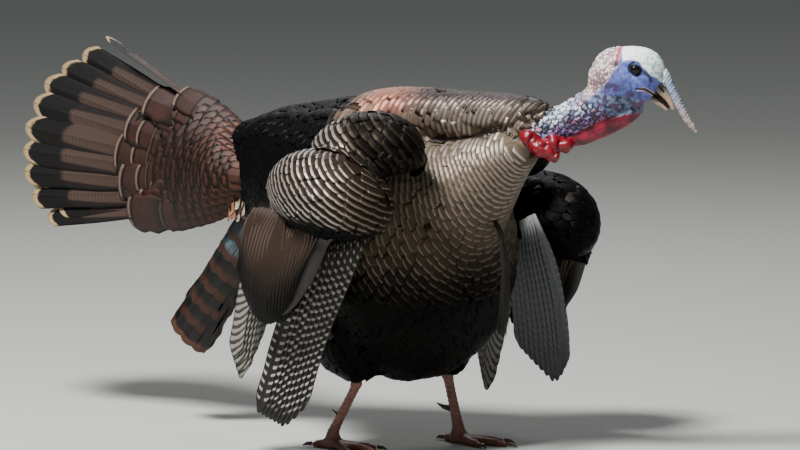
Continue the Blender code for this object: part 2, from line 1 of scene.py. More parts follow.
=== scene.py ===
"""Looks of the tom wild turkey: skin, head, horn and every coat of feathers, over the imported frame.

The flesh nodes are melted into one skin. Small feathers are laid on it in rows, which are the level
lines of the distance travelled over the skin from where that coat begins, so they follow any form.
Wing and tail feathers are drawn one by one from the lines that the solids were laid out on.
"""

import math
from collections import namedtuple

import bmesh
import bpy
import numpy as np
from bpy.props import FloatProperty, FloatVectorProperty, IntProperty, PointerProperty
from bpy.types import Operator, Panel, PropertyGroup
from mathutils import Euler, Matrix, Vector
from mathutils.bvhtree import BVHTree
from mathutils.kdtree import KDTree


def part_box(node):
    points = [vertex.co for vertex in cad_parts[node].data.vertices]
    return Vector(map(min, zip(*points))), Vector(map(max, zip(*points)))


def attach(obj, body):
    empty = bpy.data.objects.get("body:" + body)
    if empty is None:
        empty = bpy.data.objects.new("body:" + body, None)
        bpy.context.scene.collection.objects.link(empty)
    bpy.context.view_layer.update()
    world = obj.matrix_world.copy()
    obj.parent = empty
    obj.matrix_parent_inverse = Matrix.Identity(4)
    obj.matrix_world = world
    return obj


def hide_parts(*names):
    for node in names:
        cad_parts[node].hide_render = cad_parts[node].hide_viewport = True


bl_info = {
    "name": "Wild turkey",
    "version": (1, 0, 0),
    "blender": (4, 5, 0),
    "location": "3D View > Sidebar > Turkey",
    "description": "Skin, head and feather coats of a life-size tom wild turkey",
    "category": "Object",
}

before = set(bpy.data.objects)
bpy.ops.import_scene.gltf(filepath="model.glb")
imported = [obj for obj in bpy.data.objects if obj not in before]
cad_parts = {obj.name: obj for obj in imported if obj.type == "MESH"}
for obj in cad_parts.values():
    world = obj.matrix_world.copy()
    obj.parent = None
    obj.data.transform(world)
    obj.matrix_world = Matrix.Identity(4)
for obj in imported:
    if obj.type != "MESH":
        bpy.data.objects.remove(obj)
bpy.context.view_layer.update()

# ---- the frame's own places ----
SIDES = {"right": -1, "left": 1}
EYE_PLACE = Vector((0.0046, 0.0, 0.0095))       # eyes, forward and up from the middle of the skull
HEAD_PITCH = math.radians(-28)
HEAD_LAID_OUT = Vector((0.362, 0.071, 0.507))   # the skull, in the solids' own layout


def middle(node):
    low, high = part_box(node)
    return (low + high) / 2


def head_turn():
    across = middle("eye_left") - middle("eye_right")
    yaw = math.atan2(-across.x, across.y)
    return Euler((0, -HEAD_PITCH, yaw), "XYZ").to_matrix()


HEAD_TURN = head_turn()
HEAD_MIDDLE = (middle("eye_left") + middle("eye_right")) / 2 - HEAD_TURN @ EYE_PLACE
SHIFT = HEAD_MIDDLE - HEAD_LAID_OUT             # from the solids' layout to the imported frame
SHIFTED = np.array(SHIFT)                       # the same, to add to rows of places


def here(x, y, z):
    """A place of the solids' own layout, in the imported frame."""
    return Vector((x, y, z)) + SHIFT


# ---- small helpers ----
def clamp01(values):
    return np.clip(values, 0.0, 1.0)


def step(values, low, high):
    """0 below low, 1 above high and smooth between; low may be the larger."""
    t = clamp01((np.asarray(values, float) - low) / (high - low))
    return t * t * (3 - 2 * t)


def unit(vectors):
    vectors = np.asarray(vectors, float)
    return vectors / np.maximum(np.linalg.norm(vectors, axis=-1, keepdims=True), 1e-12)


def numbers_of(items, field, width, kind=float):
    """One field of a mesh's points, edges or triangles, as rows of so many numbers."""
    flat = np.empty(len(items) * width, kind)
    items.foreach_get(field, flat)
    return flat.reshape(-1, width)


def points_of(mesh):
    return numbers_of(mesh.vertices, "co", 3)


def triangles_of(mesh):
    mesh.calc_loop_triangles()
    return numbers_of(mesh.loop_triangles, "vertices", 3, np.int32).astype(int)


def edges_of(mesh):
    return numbers_of(mesh.edges, "vertices", 2, np.int32).astype(int)


def normals_of(mesh):
    return numbers_of(mesh.vertex_normals, "vector", 3)


def moved(mesh, points):
    """Puts the points of a mesh at new places."""
    mesh.vertices.foreach_set("co", np.asarray(points, np.float32).ravel())
    mesh.update()


def mesh_from(name, points, faces):
    """A mesh from an array of points and a list of face arrays, each with one number of corners."""
    mesh = bpy.data.meshes.new(name)
    mesh.vertices.add(len(points))
    mesh.vertices.foreach_set("co", np.asarray(points, np.float32).ravel())
    sizes = np.concatenate([np.full(len(f), f.shape[1]) for f in faces])
    corners = np.concatenate([f.ravel() for f in faces])
    mesh.loops.add(len(corners))
    mesh.loops.foreach_set("vertex_index", corners.astype(np.int32))
    mesh.polygons.add(len(sizes))
    mesh.polygons.foreach_set("loop_start", np.concatenate([[0], np.cumsum(sizes)[:-1]]).astype(np.int32))
    mesh.polygons.foreach_set("loop_total", sizes.astype(np.int32))
    mesh.update(calc_edges=True)
    return mesh


def object_of(name, mesh):
    obj = bpy.data.objects.new(name, mesh)
    bpy.context.scene.collection.objects.link(obj)
    return obj


def attribute(mesh, name, values):
    """Stores one number, or one vector, for each point of a mesh."""
    values = np.asarray(values, np.float32)
    kind, field = ("FLOAT", "value") if values.ndim == 1 else ("FLOAT_VECTOR", "vector")
    mesh.attributes.new(name, kind, "POINT").data.foreach_set(field, values.ravel())


def finished(obj, slot, *materials, smooth=True):
    """Gives a piece its materials, and lets it ride on the model's one body; slot is not used."""
    for material in materials:
        obj.data.materials.append(material)
    if smooth:
        obj.data.shade_smooth()
    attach(obj, "root")
    return obj


# ---- materials ----
def srgb(code):
    """The linear colour of an sRGB hex code such as "#a1b2c3"."""
    parts = [int(code[i:i + 2], 16) / 255 for i in (1, 3, 5)]
    return (*[p / 12.92 if p <= 0.04045 else ((p + 0.055) / 1.055) ** 2.4 for p in parts], 1.0)


# By kind of pattern: the node, its inputs in order, its settings and its output.
KINDS = {
    "stored": ("Attribute", (), {}, "Fac"),
    "place": ("TexCoord", (), {}, "Object"),
    "join": ("CombineXYZ", (0, 1, 2), {}, 0),
    "ramp": ("MapRange", ("Value", "From Min", "From Max"), {"interpolation_type": "SMOOTHSTEP"}, 0),
    "mix": ("Mix", (0, 6, 7), {"data_type": "RGBA"}, 2),
    "noise": ("TexNoise", ("Vector", "Scale", "Detail", "Roughness"), {}, "Fac"),
    "cells": ("TexVoronoi", ("Vector", "Scale"), {"feature": "SMOOTH_F1"}, "Distance"),
    "bump": ("Bump", ("Height", "Strength", "Distance"), {}, 0),
}


def feed(tree, socket, value):
    """Links an output to a socket, or sets it to a number, a colour or a hex code."""
    if isinstance(value, bpy.types.NodeSocket):
        tree.links.new(value, socket)
    else:
        socket.default_value = srgb(value) if isinstance(value, str) else value


def add(tree, kind, *inputs, **settings):
    """Adds a node with its settings and links, and returns its output.

    A kind that KINDS doesn't hold is an operation of the maths node.
    """
    node, sockets, usual, output = KINDS.get(kind, ("Math", (0, 1, 2), {"operation": kind}, 0))
    made = tree.nodes.new("ShaderNode" + node)
    for name, value in {**usual, **settings}.items():
        setattr(made, name, value)
    for key, value in zip(sockets, inputs):
        feed(tree, made.inputs[key], value)
    return made.outputs[output]


class Paint:
    """A material under construction. Called, it adds a node; marks is what it reads from the mesh."""

    def __init__(self, name, *marks):
        self.material = bpy.data.materials.new(name)
        self.material.use_nodes = True
        self.tree = self.material.node_tree
        self.shader = self.tree.nodes["Principled BSDF"]
        self.marks = [self("stored", attribute_name=mark) for mark in marks]

    def __call__(self, kind, *inputs, **settings):
        return add(self.tree, kind, *inputs, **settings)

    def over(self, colour, *layers):
        """Lays colours over a colour: each layer is its mask, its colour and, where weak, its strength."""
        for mask, laid, *strength in layers:
            for share in strength:
                mask = self("MULTIPLY", mask, share)
            colour = self("mix", mask, colour, laid)
        return colour

    def finish(self, **sockets):
        for name, value in sockets.items():
            feed(self.tree, self.shader.inputs[name.replace("_", " ")], value)
        return self.material


# ---- sizes and colours that a user would change ----
def tint(name, description, code):
    return FloatVectorProperty(name=name, description=description, default=srgb(code), size=4,
                               min=0, max=1, subtype="COLOR")


def amount(name, description, value, least=0.0, unit="NONE"):
    return FloatProperty(name=name, description=description, default=value, min=least, unit=unit,
                         precision=4)


def measure(name, description, value):
    return amount(name, description, value, 0.0001, "LENGTH")


def whole(name, description, value, least):
    return IntProperty(name=name, description=description, default=value, min=least)


class TurkeyHead(PropertyGroup):
    """The bare head and neck."""

    eye_radius: measure("Eye radius", "Radius of the eyeball", 0.0078)
    iris_radius: measure("Iris radius", "Radius of the iris and of the clear dome over it", 0.0046)
    neck_wart: measure("Neck warts", "Height of the largest warts on the lower neck", 0.0026)
    nape_wart: measure("Nape warts", "Height of the warts on the nape", 0.0013)
    lobe: measure("Caruncles", "How far the red lobes swell", 0.0046)
    bristle: measure("Bristles", "Longest bristle on the head", 0.0052)
    crown: tint("Crown", "White skin of the crown", "#feffff")
    face_deep: tint("Face, deep", "Darker blue of the face", "#3f4a98")
    face_light: tint("Face, light", "Lighter blue of the face", "#6e7cc6")
    nape: tint("Nape", "Cream skin of the nape", "#efe3d8")
    neck: tint("Neck", "Palest warts of the neck", "#eef0f2")
    dewlap_deep: tint("Dewlap, deep", "Darker red of the dewlap", "#430817")
    dewlap_light: tint("Dewlap, light", "Lighter red of the dewlap", "#8a1230")
    lobe_deep: tint("Caruncles, deep", "Darker red of the lobes", "#520110")
    lobe_light: tint("Caruncles, light", "Lighter red of the lobes", "#8a051c")
    iris: tint("Iris", "Dark brown of the iris", "#170b07")
    horn: tint("Bill", "Palest horn of the bill", "#c9a98f")
    leg: tint("Legs", "Lighter pink brown of shank and toes", "#8b5b4e")


class TurkeyCoat(PropertyGroup):
    """The small feathers of body, wing shoulders and thighs."""

    neck_row: measure("Neck rows", "Step between rows at the front of the neck", 0.0066)
    back_row: measure("Back rows", "Step between rows at the back of the neck and on the back", 0.0096)
    breast_row: measure("Breast rows", "Step between rows on the upper breast", 0.0060)
    belly_row: measure("Belly rows", "Step between rows on the belly", 0.0096)
    shoulder_row: measure("Shoulder rows", "Step between rows on the shoulder", 0.0112)
    forearm_row: measure("Forearm rows", "Step between rows on the forearm", 0.0090)
    thigh_row: measure("Thigh rows", "Step between rows on the thigh", 0.0105)
    overlap: amount("Overlap", "Length of a feather in rows", 3.0, 1.5)
    rise: amount("Rise", "How far a tip stands off, as a share of the length", 0.12)
    bronze_deep: tint("Bronze, deep", "Darker bronze of the bands", "#5b4f42")
    bronze_light: tint("Bronze, light", "Lighter bronze of the bands", "#8c7d6b")
    # This silver is laid on the bands as painted sheen.
    copper: tint("Copper", "Copper of the upper back", "#a8664f")
    silver: tint("Silver", "Pale bands of throat and wing", "#b5aca6")
    # This black is also laid as painted shade on the thighs, the forearm hems and the left wing's side that
    # faces the breast.
    black: tint("Black", "Black of the rump and lower back", "#09090b")


class TurkeyTail(PropertyGroup):
    """The fan, its coverts and the under tail."""

    front_feathers: whole("Front feathers", "Tail feathers of the front row", 9, 3)
    wave_spacing: measure("Waves", "Step between the fine dark waves", 0.0062)
    ground: tint("Ground", "Grey brown of the barred part", "#40322a")
    band: tint("Band", "Black band near the end", "#060505")
    tip: tint("Tips", "Buff ends of the tail feathers", "#9c8562")
    covert: tint("Coverts", "Chestnut of the coverts", "#3b231c")
    gleam: tint("Gleam", "Coppery gleam of the coverts near the rump", "#6d4030")
    rust: tint("Rust", "Chestnut bands of the under tail", "#3f2214")


class TurkeyWing(PropertyGroup):
    """The long feathers of the wing."""

    primaries: whole("Primaries", "Outer flight feathers of a wing", 10, 4)
    secondaries: whole("Secondaries", "Inner flight feathers of a wing", 9, 4)
    coverts: whole("Long coverts", "Feathers on each face of the shield", 19, 6)
    bar_spacing: measure("Bars", "Step between the white bars of the primaries", 0.0112)
    grey_bars: measure("Grey bars", "Step between the dark bars of the secondaries", 0.0105)
    vane_half: measure("Half width", "Half the width of a primary", 0.0118)
    dark: tint("Dark", "Black brown of the primaries", "#17110f")
    chalk: tint("Chalk", "White of the bars", "#bdb6ab")
    brown: tint("Shield", "Lighter brown of the long coverts", "#3a2d25")


class TurkeyStage(PropertyGroup):
    """Floor, light and camera."""

    floor: tint("Floor", "Matt pale floor", "#b4b6b1")
    key: amount("Key light", "The soft light above", 290, unit="POWER")
    world: amount("Room light", "Strength of the light from all sides", 0.16)
    distance: amount("Camera distance", "From the camera to the bird", 8.772, 1, "LENGTH")
    lens: amount("Lens", "Focal length in millimetres", 300, 10)


class Turkey(PropertyGroup):
    """All of it."""

    head: PointerProperty(type=TurkeyHead)
    coat: PointerProperty(type=TurkeyCoat)
    tail: PointerProperty(type=TurkeyTail)
    wing: PointerProperty(type=TurkeyWing)
    stage: PointerProperty(type=TurkeyStage)


def chosen_for(part):
    """The settings of one part of the bird."""
    return getattr(bpy.context.scene.turkey, part)


def barbs(paint, along, across, count, strength=0.3, height=0.0005):
    """The fine ribs of a vane, slanting out from the shaft towards the tip.

    Real barbs stand less than half a millimetre apart. As count ribs to a vane they are drawn 1 to
    4 mm apart, coarse enough to show.
    """
    lines = paint("SUBTRACT", along, paint("MULTIPLY", paint("ABSOLUTE", across), 0.22))
    waves = paint("SINE", paint("MULTIPLY", lines, count * 2 * math.pi))
    return paint("bump", waves, strength, height)


def contour_feather_material():
    """Body plumage: keratin barbs that shine like worn bronze, each vane ending in a black edge.

    A metal layer gives the coppery and greenish gleam, rough enough to spread along the barbs.
    """
    paint = Paint("bronze_contour_plumage", "along", "across", "tuft", "black", "belly", "pale",
                  "copper", "plum", "ring", "thin", "soft")
    along, across, tuft, black, belly, pale, copper, plum, ring, thin, soft = paint.marks
    tints = chosen_for("coat")
    where = paint("join", paint("MULTIPLY", across, 0.5), along, paint("MULTIPLY", tuft, 40))
    mottle = paint("noise", where, 3.0, 3.0)
    # The pale mark lays silver and the plum mark dark plum over the bronze as painted sheen; the belly and
    # black marks carry painted shade as well as dark plumage.
    bronze = paint.over(
        paint("mix", mottle, tints.bronze_deep, tints.bronze_light),
        (paint("ramp", tuft, 0.6, 1.0), "#7d5a48", 0.35),
        (paint("ramp", tuft, 0.4, 0.0), "#5f6347", 0.30),
        (copper, tints.copper), (plum, "#30272a"), (pale, tints.silver, 0.8),
        (belly, "#120e0b"), (black, tints.black))
    # The soft mark lightens the ground, partly as painted light; plum and belly darken it as painted sheen
    # and painted shade.
    ground = paint.over(
        paint("mix", soft, "#2a211b", "#655849"),
        (soft, "#7b5348", copper), (soft, "#241c1e", plum), (belly, "#070605"), (black, "#050506"))
    middle_web = paint("ramp", paint("ABSOLUTE", across), 0.92, 0.45)
    middle_web = paint("MAXIMUM", middle_web, ring)
    band_start = paint("MULTIPLY_ADD", thin, 0.07, paint("MULTIPLY_ADD", ring, -0.05, 0.78))
    rise = paint("ramp", paint("SUBTRACT", along, band_start), 0.0, 0.09)
    band = paint("MULTIPLY", rise, paint("ramp", along, 0.965, 0.925))
    band = paint("MULTIPLY", band, middle_web)
    shine = paint("MULTIPLY", paint("MULTIPLY_ADD", band, 0.55, 0.12),
                  paint("MULTIPLY_ADD", black, -0.75, 1.0))
    return paint.finish(
        Base_Color=paint("mix", band, ground, bronze), Metallic=shine, Specular_IOR_Level=0.05,
        Roughness=paint("MULTIPLY_ADD", mottle, 0.14, 0.36),
        Normal=barbs(paint, along, across, 26, 0.25, 0.0004))


# ---- the skin ----
BARE = ("head", "neck_bare", "snood", "dewlap", "caruncles")
LEGS = tuple(f"leg_{side}_{part}" for side in SIDES for part in ("shank", "foot"))
FEATHERED = (
    "trunk", "rump", "neck", "tail_coverts", "undertail_coverts", "leg_left_thigh", "leg_right_thigh",
    *[f"wing_{side}_{part}" for side in SIDES for part in ("shoulder", "forearm", "coverts")],
)
FLESH = FEATHERED + BARE + LEGS


def melted(name, points, triangles, voxel, evenly):
    """Solids remeshed as one closed surface, their facets smoothed away."""
    mesh = mesh_from(name, points, [triangles])
    obj = object_of(name, mesh)
    remesh = obj.modifiers.new("Melt", "REMESH")
    remesh.mode, remesh.voxel_size = "VOXEL", voxel
    smooth = obj.modifiers.new("Smooth", "SMOOTH")
    smooth.factor, smooth.iterations = 0.5, evenly
    bpy.context.view_layer.update()
    made = bpy.data.meshes.new_from_object(obj.evaluated_get(bpy.context.evaluated_depsgraph_get()))
    made.name = name
    bpy.data.objects.remove(obj, do_unlink=True)
    bpy.data.meshes.remove(mesh)
    return made


def gathered(nodes):
    """Some nodes of the frame as one set of points and triangles, and the owner of each triangle."""
    points, triangles, owners, count = [], [], [], 0
    for node in nodes:
        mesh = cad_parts[node].data
        points.append(points_of(mesh))
        triangles.append(triangles_of(mesh) + count)
        owners += [node] * len(triangles[-1])
        count += len(points[-1])
    return np.concatenate(points), np.concatenate(triangles), owners


class Flesh:
    """The flesh nodes gathered in one mesh, which knows the node that each place belongs to."""

    def __init__(self):
        self.points, self.triangles, self.owners = gathered(FLESH)
        self.tree = BVHTree.FromPolygons(self.points.tolist(), self.triangles.tolist())

    def owner(self, place):
        return self.owners[self.tree.find_nearest(place)[2]]

    def belongs(self, points, nodes):
        """Which of the points lie on some nodes."""
        return np.array([self.owner(p) in nodes for p in points.tolist()])


class Skin:
    """The finished skin: a tree for finding places on it, and who owns each point."""

    def __init__(self, mesh):
        self.mesh = mesh
        self.points, self.normals = points_of(mesh), normals_of(mesh)
        self.tree = BVHTree.FromPolygons(self.points.tolist(), triangles_of(mesh).tolist())

    def nearest(self, place):
        where, normal, _, _ = self.tree.find_nearest(place)
        return where, normal


# ---- head, neck and legs ----
NECK_END_HEIGHTS = (0.400, 0.425, 0.440, 0.462)
NECK_ENDS = (0.252, 0.255, 0.272, 0.285)        # how far forward the feathers reach, by height
SHOULDER_HEIGHT = 0.405                         # neck and back above it, breast and flanks below
COAT_DEPTH = 0.004                              # how deep the skin lies under the coat
EYE_OUT, LID_THICKNESS = 0.0190, 0.0006
# Places on the side of the skull: forward and up.
MOUTH = ((0.0183, -0.0120), (0.0273, -0.0072), (0.0360, -0.0080), (0.0460, -0.0108))
SNOOD_ROOT = (0.0400, 0.0, 0.0120)              # where it grows out of the forehead
EAR_PLACE = (-0.0194, 0.0037)


def past_neck(points):
    """How far each place lies ahead of the neck's last feathers."""
    x, _, z = (points - SHIFTED).T
    return x - np.interp(z, NECK_END_HEIGHTS, NECK_ENDS)


def in_head(points):
    """Places in the skull's own directions: forward, out to the left, up."""
    return (points - np.array(HEAD_MIDDLE)) @ np.array(HEAD_TURN)


def out_of_head(local):
    """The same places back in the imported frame."""
    return local @ np.array(HEAD_TURN).T + np.array(HEAD_MIDDLE)


def tree_of(points):
    """A tree that finds the nearest of some points."""
    tree = KDTree(len(points))
    for i, place in enumerate(points.tolist()):
        tree.insert(place, i)
    tree.balance()
    return tree


def evened(points, edges, passes, share):
    """Points drawn towards the middle of their neighbours; share holds how much, pass by pass."""
    count = len(points)
    joined = np.bincount(edges.ravel(), minlength=count)[:, None]
    for number in range(passes):
        near = np.stack([
            np.bincount(edges[:, 0], points[edges[:, 1], i], count)
            + np.bincount(edges[:, 1], points[edges[:, 0], i], count) for i in range(3)], 1)
        points = points + (near / joined - points) * 0.5 * share(number)[:, None]
    return points


def subdivided(mesh, chosen, cuts):
    """Splits each edge whose two ends are both chosen."""
    work = bmesh.new()
    work.from_mesh(mesh)
    edges = [e for e in work.edges if chosen[e.verts[0].index] and chosen[e.verts[1].index]]
    bmesh.ops.subdivide_edges(work, edges=edges, cuts=cuts, use_grid_fill=True)
    work.to_mesh(mesh)
    work.free()
    mesh.update()


def scattered(points, spacing, seed):
    """Some of the points, no two of them nearer than the spacing."""
    order = np.random.default_rng(seed).permutation(len(points))
    taken, kept = {}, []
    for i in order.tolist():
        p = points[i]
        cell = tuple((p // spacing).astype(int))
        near = [taken.get((cell[0] + a, cell[1] + b, cell[2] + c), ())
                for a in (-1, 0, 1) for b in (-1, 0, 1) for c in (-1, 0, 1)]
        if all(((p - q) ** 2).sum() >= spacing**2 for group in near for q in group):
            taken.setdefault(cell, []).append(p)
            kept.append(p)
    return np.array(kept)


def warts(points, where, spacing, seed):
    """Height 0 to 1 of crowded warts over part of the skin, and a number for each wart.

    Each wart swells from the creases where it meets its neighbours; a ripple bends the creases.
    """
    rng = np.random.default_rng(seed)
    centres = scattered(points[where], spacing, seed)
    tree = tree_of(centres)
    swell, grain = rng.uniform(0.15, 1.0, len(centres)), rng.uniform(0, 1, len(centres))
    ripple = 0.22 * spacing * np.sin(points[:, [1, 2, 0]] * (2 * math.pi / (0.9 * spacing)))
    height, number = np.zeros(len(points)), np.zeros(len(points))
    for i in np.nonzero(where)[0]:
        (_, nearest, gap), (_, _, further) = tree.find_n(points[i] + ripple[i], 2)
        height[i] = swell[nearest] * (1 - math.exp(-((further - gap) / (0.42 * spacing)) ** 1.5))
        number[i] = grain[nearest]
    return height, number


def gauss(values, width):
    return np.exp(-(np.asarray(values) / width) ** 2)


def socket(local):
    """The skin round the eyes: the ball's bed, the lids that wrap it and the folds about them."""
    radius = chosen_for("head").eye_radius
    out = local[:, 1].copy()
    lid = np.zeros(len(local))
    for side in SIDES.values():
        forward, up = local[:, 0] - EYE_PLACE.x, local[:, 2] - EYE_PLACE.z
        near = (local[:, 1] * side > 0.008) & (np.hypot(forward, up) < 0.022)
        apart = np.hypot(forward, up)
        opening = np.hypot(forward / 1.20 - 0.0003, up / 0.86)
        ball = EYE_OUT + np.sqrt(np.maximum((radius + LID_THICKNESS) ** 2 - apart**2, 1e-8))
        deep = EYE_OUT + 0.2 * np.sqrt(np.maximum(radius**2 - apart**2, 0))
        natural = np.abs(local[:, 1])
        wanted = natural + (np.maximum(ball, natural - 0.001) - natural) * step(apart, 0.0115, 0.0078)
        wanted = wanted + (deep - wanted) * step(opening, 0.0062, 0.0053)
        folds = 0.00028 * np.sin(apart / 0.0016 * 2 * math.pi) * gauss(apart - 0.0108, 0.0022)
        brow = 0.0009 * gauss(up - 0.0125, 0.0030) * gauss(forward, 0.010)
        wanted = wanted + folds + brow
        out = np.where(near, side * wanted, out)
        lid = np.maximum(lid, np.where(near, step(opening, 0.0092, 0.0080), 0))
    return out, lid


def near_line(forward, up, start, end, width):
    """1 on a line from start to end on the side of the skull, fading to 0 at the width."""
    start, end = np.array(start), np.array(end)
    along = end - start
    place = np.stack([forward, up], -1) - start
    share = clamp01((place @ along) / (along @ along))
    return gauss(np.linalg.norm(place - share[..., None] * along, axis=-1), width)


def near_path(forward, up, path, width):
    """The same for a line with bends."""
    return np.max([near_line(forward, up, a, b, width) for a, b in zip(path, path[1:])], axis=0)


def head_masks(local, owner):
    """Where each colour of the bare skin lies: dictionary of masks from 0 to 1."""
    forward, up = local[:, 0], local[:, 2]
    bare = np.isin(owner, BARE)
    round_neck = -0.8 * forward + 0.6 * up          # large at the nape, small at the throat
    crown_edge = np.interp(forward, (-0.030, -0.0146, -0.0033, 0.0106, 0.0228, 0.0365, 0.043),
                           (0.026, 0.0125, 0.0190, 0.0172, 0.0135, 0.0105, 0.009))
    crown_edge = crown_edge + 0.0012 * np.sin(forward / 0.0031) * np.sin(forward / 0.0071 + 1)
    crown = step(up - crown_edge, -0.001, 0.0016) * step(forward, -0.031, -0.024)
    nape_edge = np.interp(up, (-0.12, -0.05, -0.026, 0.0, 0.02), (-0.012, -0.008, 0.001, 0.0135, 0.029))
    nape = step(round_neck - nape_edge, -0.003, 0.003) * (1 - crown) * step(up, -0.064, -0.046)
    jaw = np.interp(forward, (-0.02, -0.0148, 0.0097, 0.029, 0.04), (-0.038, -0.037, -0.028, -0.0225, -0.02))
    throat = step(jaw - up, -0.002, 0.003) * step(up, -0.062, -0.050) * (1 - nape)
    neck = step(up, -0.050, -0.062) * (1 - nape)
    red_edge = np.interp(forward, (-0.040, -0.0287, -0.0044, 0.0382), (-0.112, -0.104, -0.0674, -0.0374))
    red = (owner == "dewlap") * step(red_edge - up, -0.002, 0.002) + (owner == "caruncles") * 1.0
    before_eye = near_path(forward, up, ((0.0125, 0.0120), (0.0235, 0.0108), (0.0300, 0.0060)), 0.0022)
    specks = np.max([gauss(np.hypot(forward - f, up - u), size) for f, u, size in (
        (0.0171, 0.0314, 0.0013), (0.0205, 0.0262, 0.0009), (0.0245, 0.0205, 0.0012),
        (0.0120, 0.0285, 0.0007))], axis=0)
    return {
        "crown": crown * bare, "nape": nape * bare, "throat": throat * bare, "neck": neck * bare,
        "low": step(round_neck, -0.017, -0.027) * neck * bare, "red": red,
        "lobes": (owner == "caruncles") * 1.0, "snood": (owner == "snood") * 1.0,
        # dusk: the dark teal before the eye, the crown's specks, and the ear hole darkened as painted shade.
        "dusk": np.max([before_eye, specks, gauss(
            np.hypot(forward - EAR_PLACE[0], up - EAR_PLACE[1]), 0.0028)], axis=0),
        "streak": near_line(forward, up, (-0.0265, 0.0290), (-0.0215, 0.0075), 0.0021),
        "gape": near_path(forward, up, MOUTH, 0.0013),
        "lips": near_path(forward, up, MOUTH, 0.0036) * step(forward, 0.016, 0.022),
        "violet": step(up, -0.006, -0.024) * (1 - nape),
        "leg": np.isin(owner, LEGS) * 1.0,
    }


def lifted_head(local, mask, bare, points):
    """How far each point of the bare skin stands out, with the warts' heights and numbers."""
    forward, up, sizes = local[:, 0], local[:, 2], chosen_for("head")
    off_eye = step(np.hypot(forward - EYE_PLACE.x, up - EYE_PLACE.z), 0.013, 0.019)
    coarse = np.maximum(mask["neck"], mask["throat"] * 0.6) * (1 - mask["red"])
    on_neck = bare & (mask["neck"] > 0.3) & (mask["red"] < 0.6) & (mask["snood"] < 0.5)
    on_neck = on_neck & (past_neck(points) > -0.006)
    on_nape = bare & (mask["nape"] > 0.3) & (mask["red"] < 0.6) & ~on_neck
    on_lobes = mask["lobes"] > 0.3
    on_cheek = bare & ~on_neck & ~on_nape & (mask["crown"] < 0.5) & (mask["red"] < 0.5) & (
        mask["snood"] < 0.5) & (up < -0.015)
    lift, wart, grain = np.zeros(len(points)), np.zeros(len(points)), np.zeros(len(points))
    for where, spacing, height, seed in (
        (on_neck, 0.0062, sizes.neck_wart, 41), (on_nape, 0.0050, sizes.nape_wart, 42),
        (on_lobes, 0.0190, sizes.lobe, 43), (on_cheek, 0.0050, 0.0008, 44),
    ):
        high, number = warts(points, where, spacing, seed)
        lift += high * height * off_eye
        wart, grain = np.maximum(wart, high * off_eye), np.where(where, number, grain)
    ear = np.hypot(forward - EAR_PLACE[0], up - EAR_PLACE[1])
    lift += bare * (0.0005 * gauss(ear - 0.0045, 0.0014) - 0.0018 * gauss(ear, 0.0026))
    lift += bare * (0.0010 * mask["lips"] - 0.0024 * mask["gape"]) * (1 - mask["snood"])
    wrinkle = 0.00022 * np.sin(forward / 0.0036 * 2 * math.pi) * step(forward, 0.108, 0.085)
    lift += mask["snood"] * (0.0016 + wrinkle)
    fold = np.sin((0.8 * forward - 0.6 * up) / 0.0055 * 2 * math.pi + 3 * np.sin(up / 0.02))
    lift += (mask["red"] - mask["lobes"]).clip(0) * (0.0006 + 0.00012 * fold)
    lift += 0.0005 * coarse * np.sin((0.6 * forward + 0.8 * up) / 0.011 * 2 * math.pi)
    return lift, wart, grain


def scutes(points, normals, owner):
    """The horny scales of the legs, in rings up the shank and across each toe: lift and height 0 to 1."""
    lift, high = np.zeros(len(points)), np.zeros(len(points))
    for side in SIDES:
        shank, foot = (owner == f"leg_{side}_{part}" for part in ("shank", "foot"))
        if not foot.any():
            continue
        ankle = middle(f"leg_{side}_shank") - Vector((0.02, 0, 0))
        away = np.hypot(points[:, 0] - ankle.x, points[:, 1] - ankle.y) / 0.0050
        rings = 1 - np.abs(2 * (away % 1) - 1) ** 5
        above = step(normals[:, 2], -0.1, 0.35)
        lift += foot * 0.0006 * rings * above
        steps = points[:, 2] / 0.0062 + 0.5 * (normals[:, 0] < -0.2)
        bands = 1 - np.abs(2 * (steps % 1) - 1) ** 5
        lift += shank * 0.0009 * bands
        high += foot * (1 - above * (1 - rings)) + shank * bands
    return lift, high


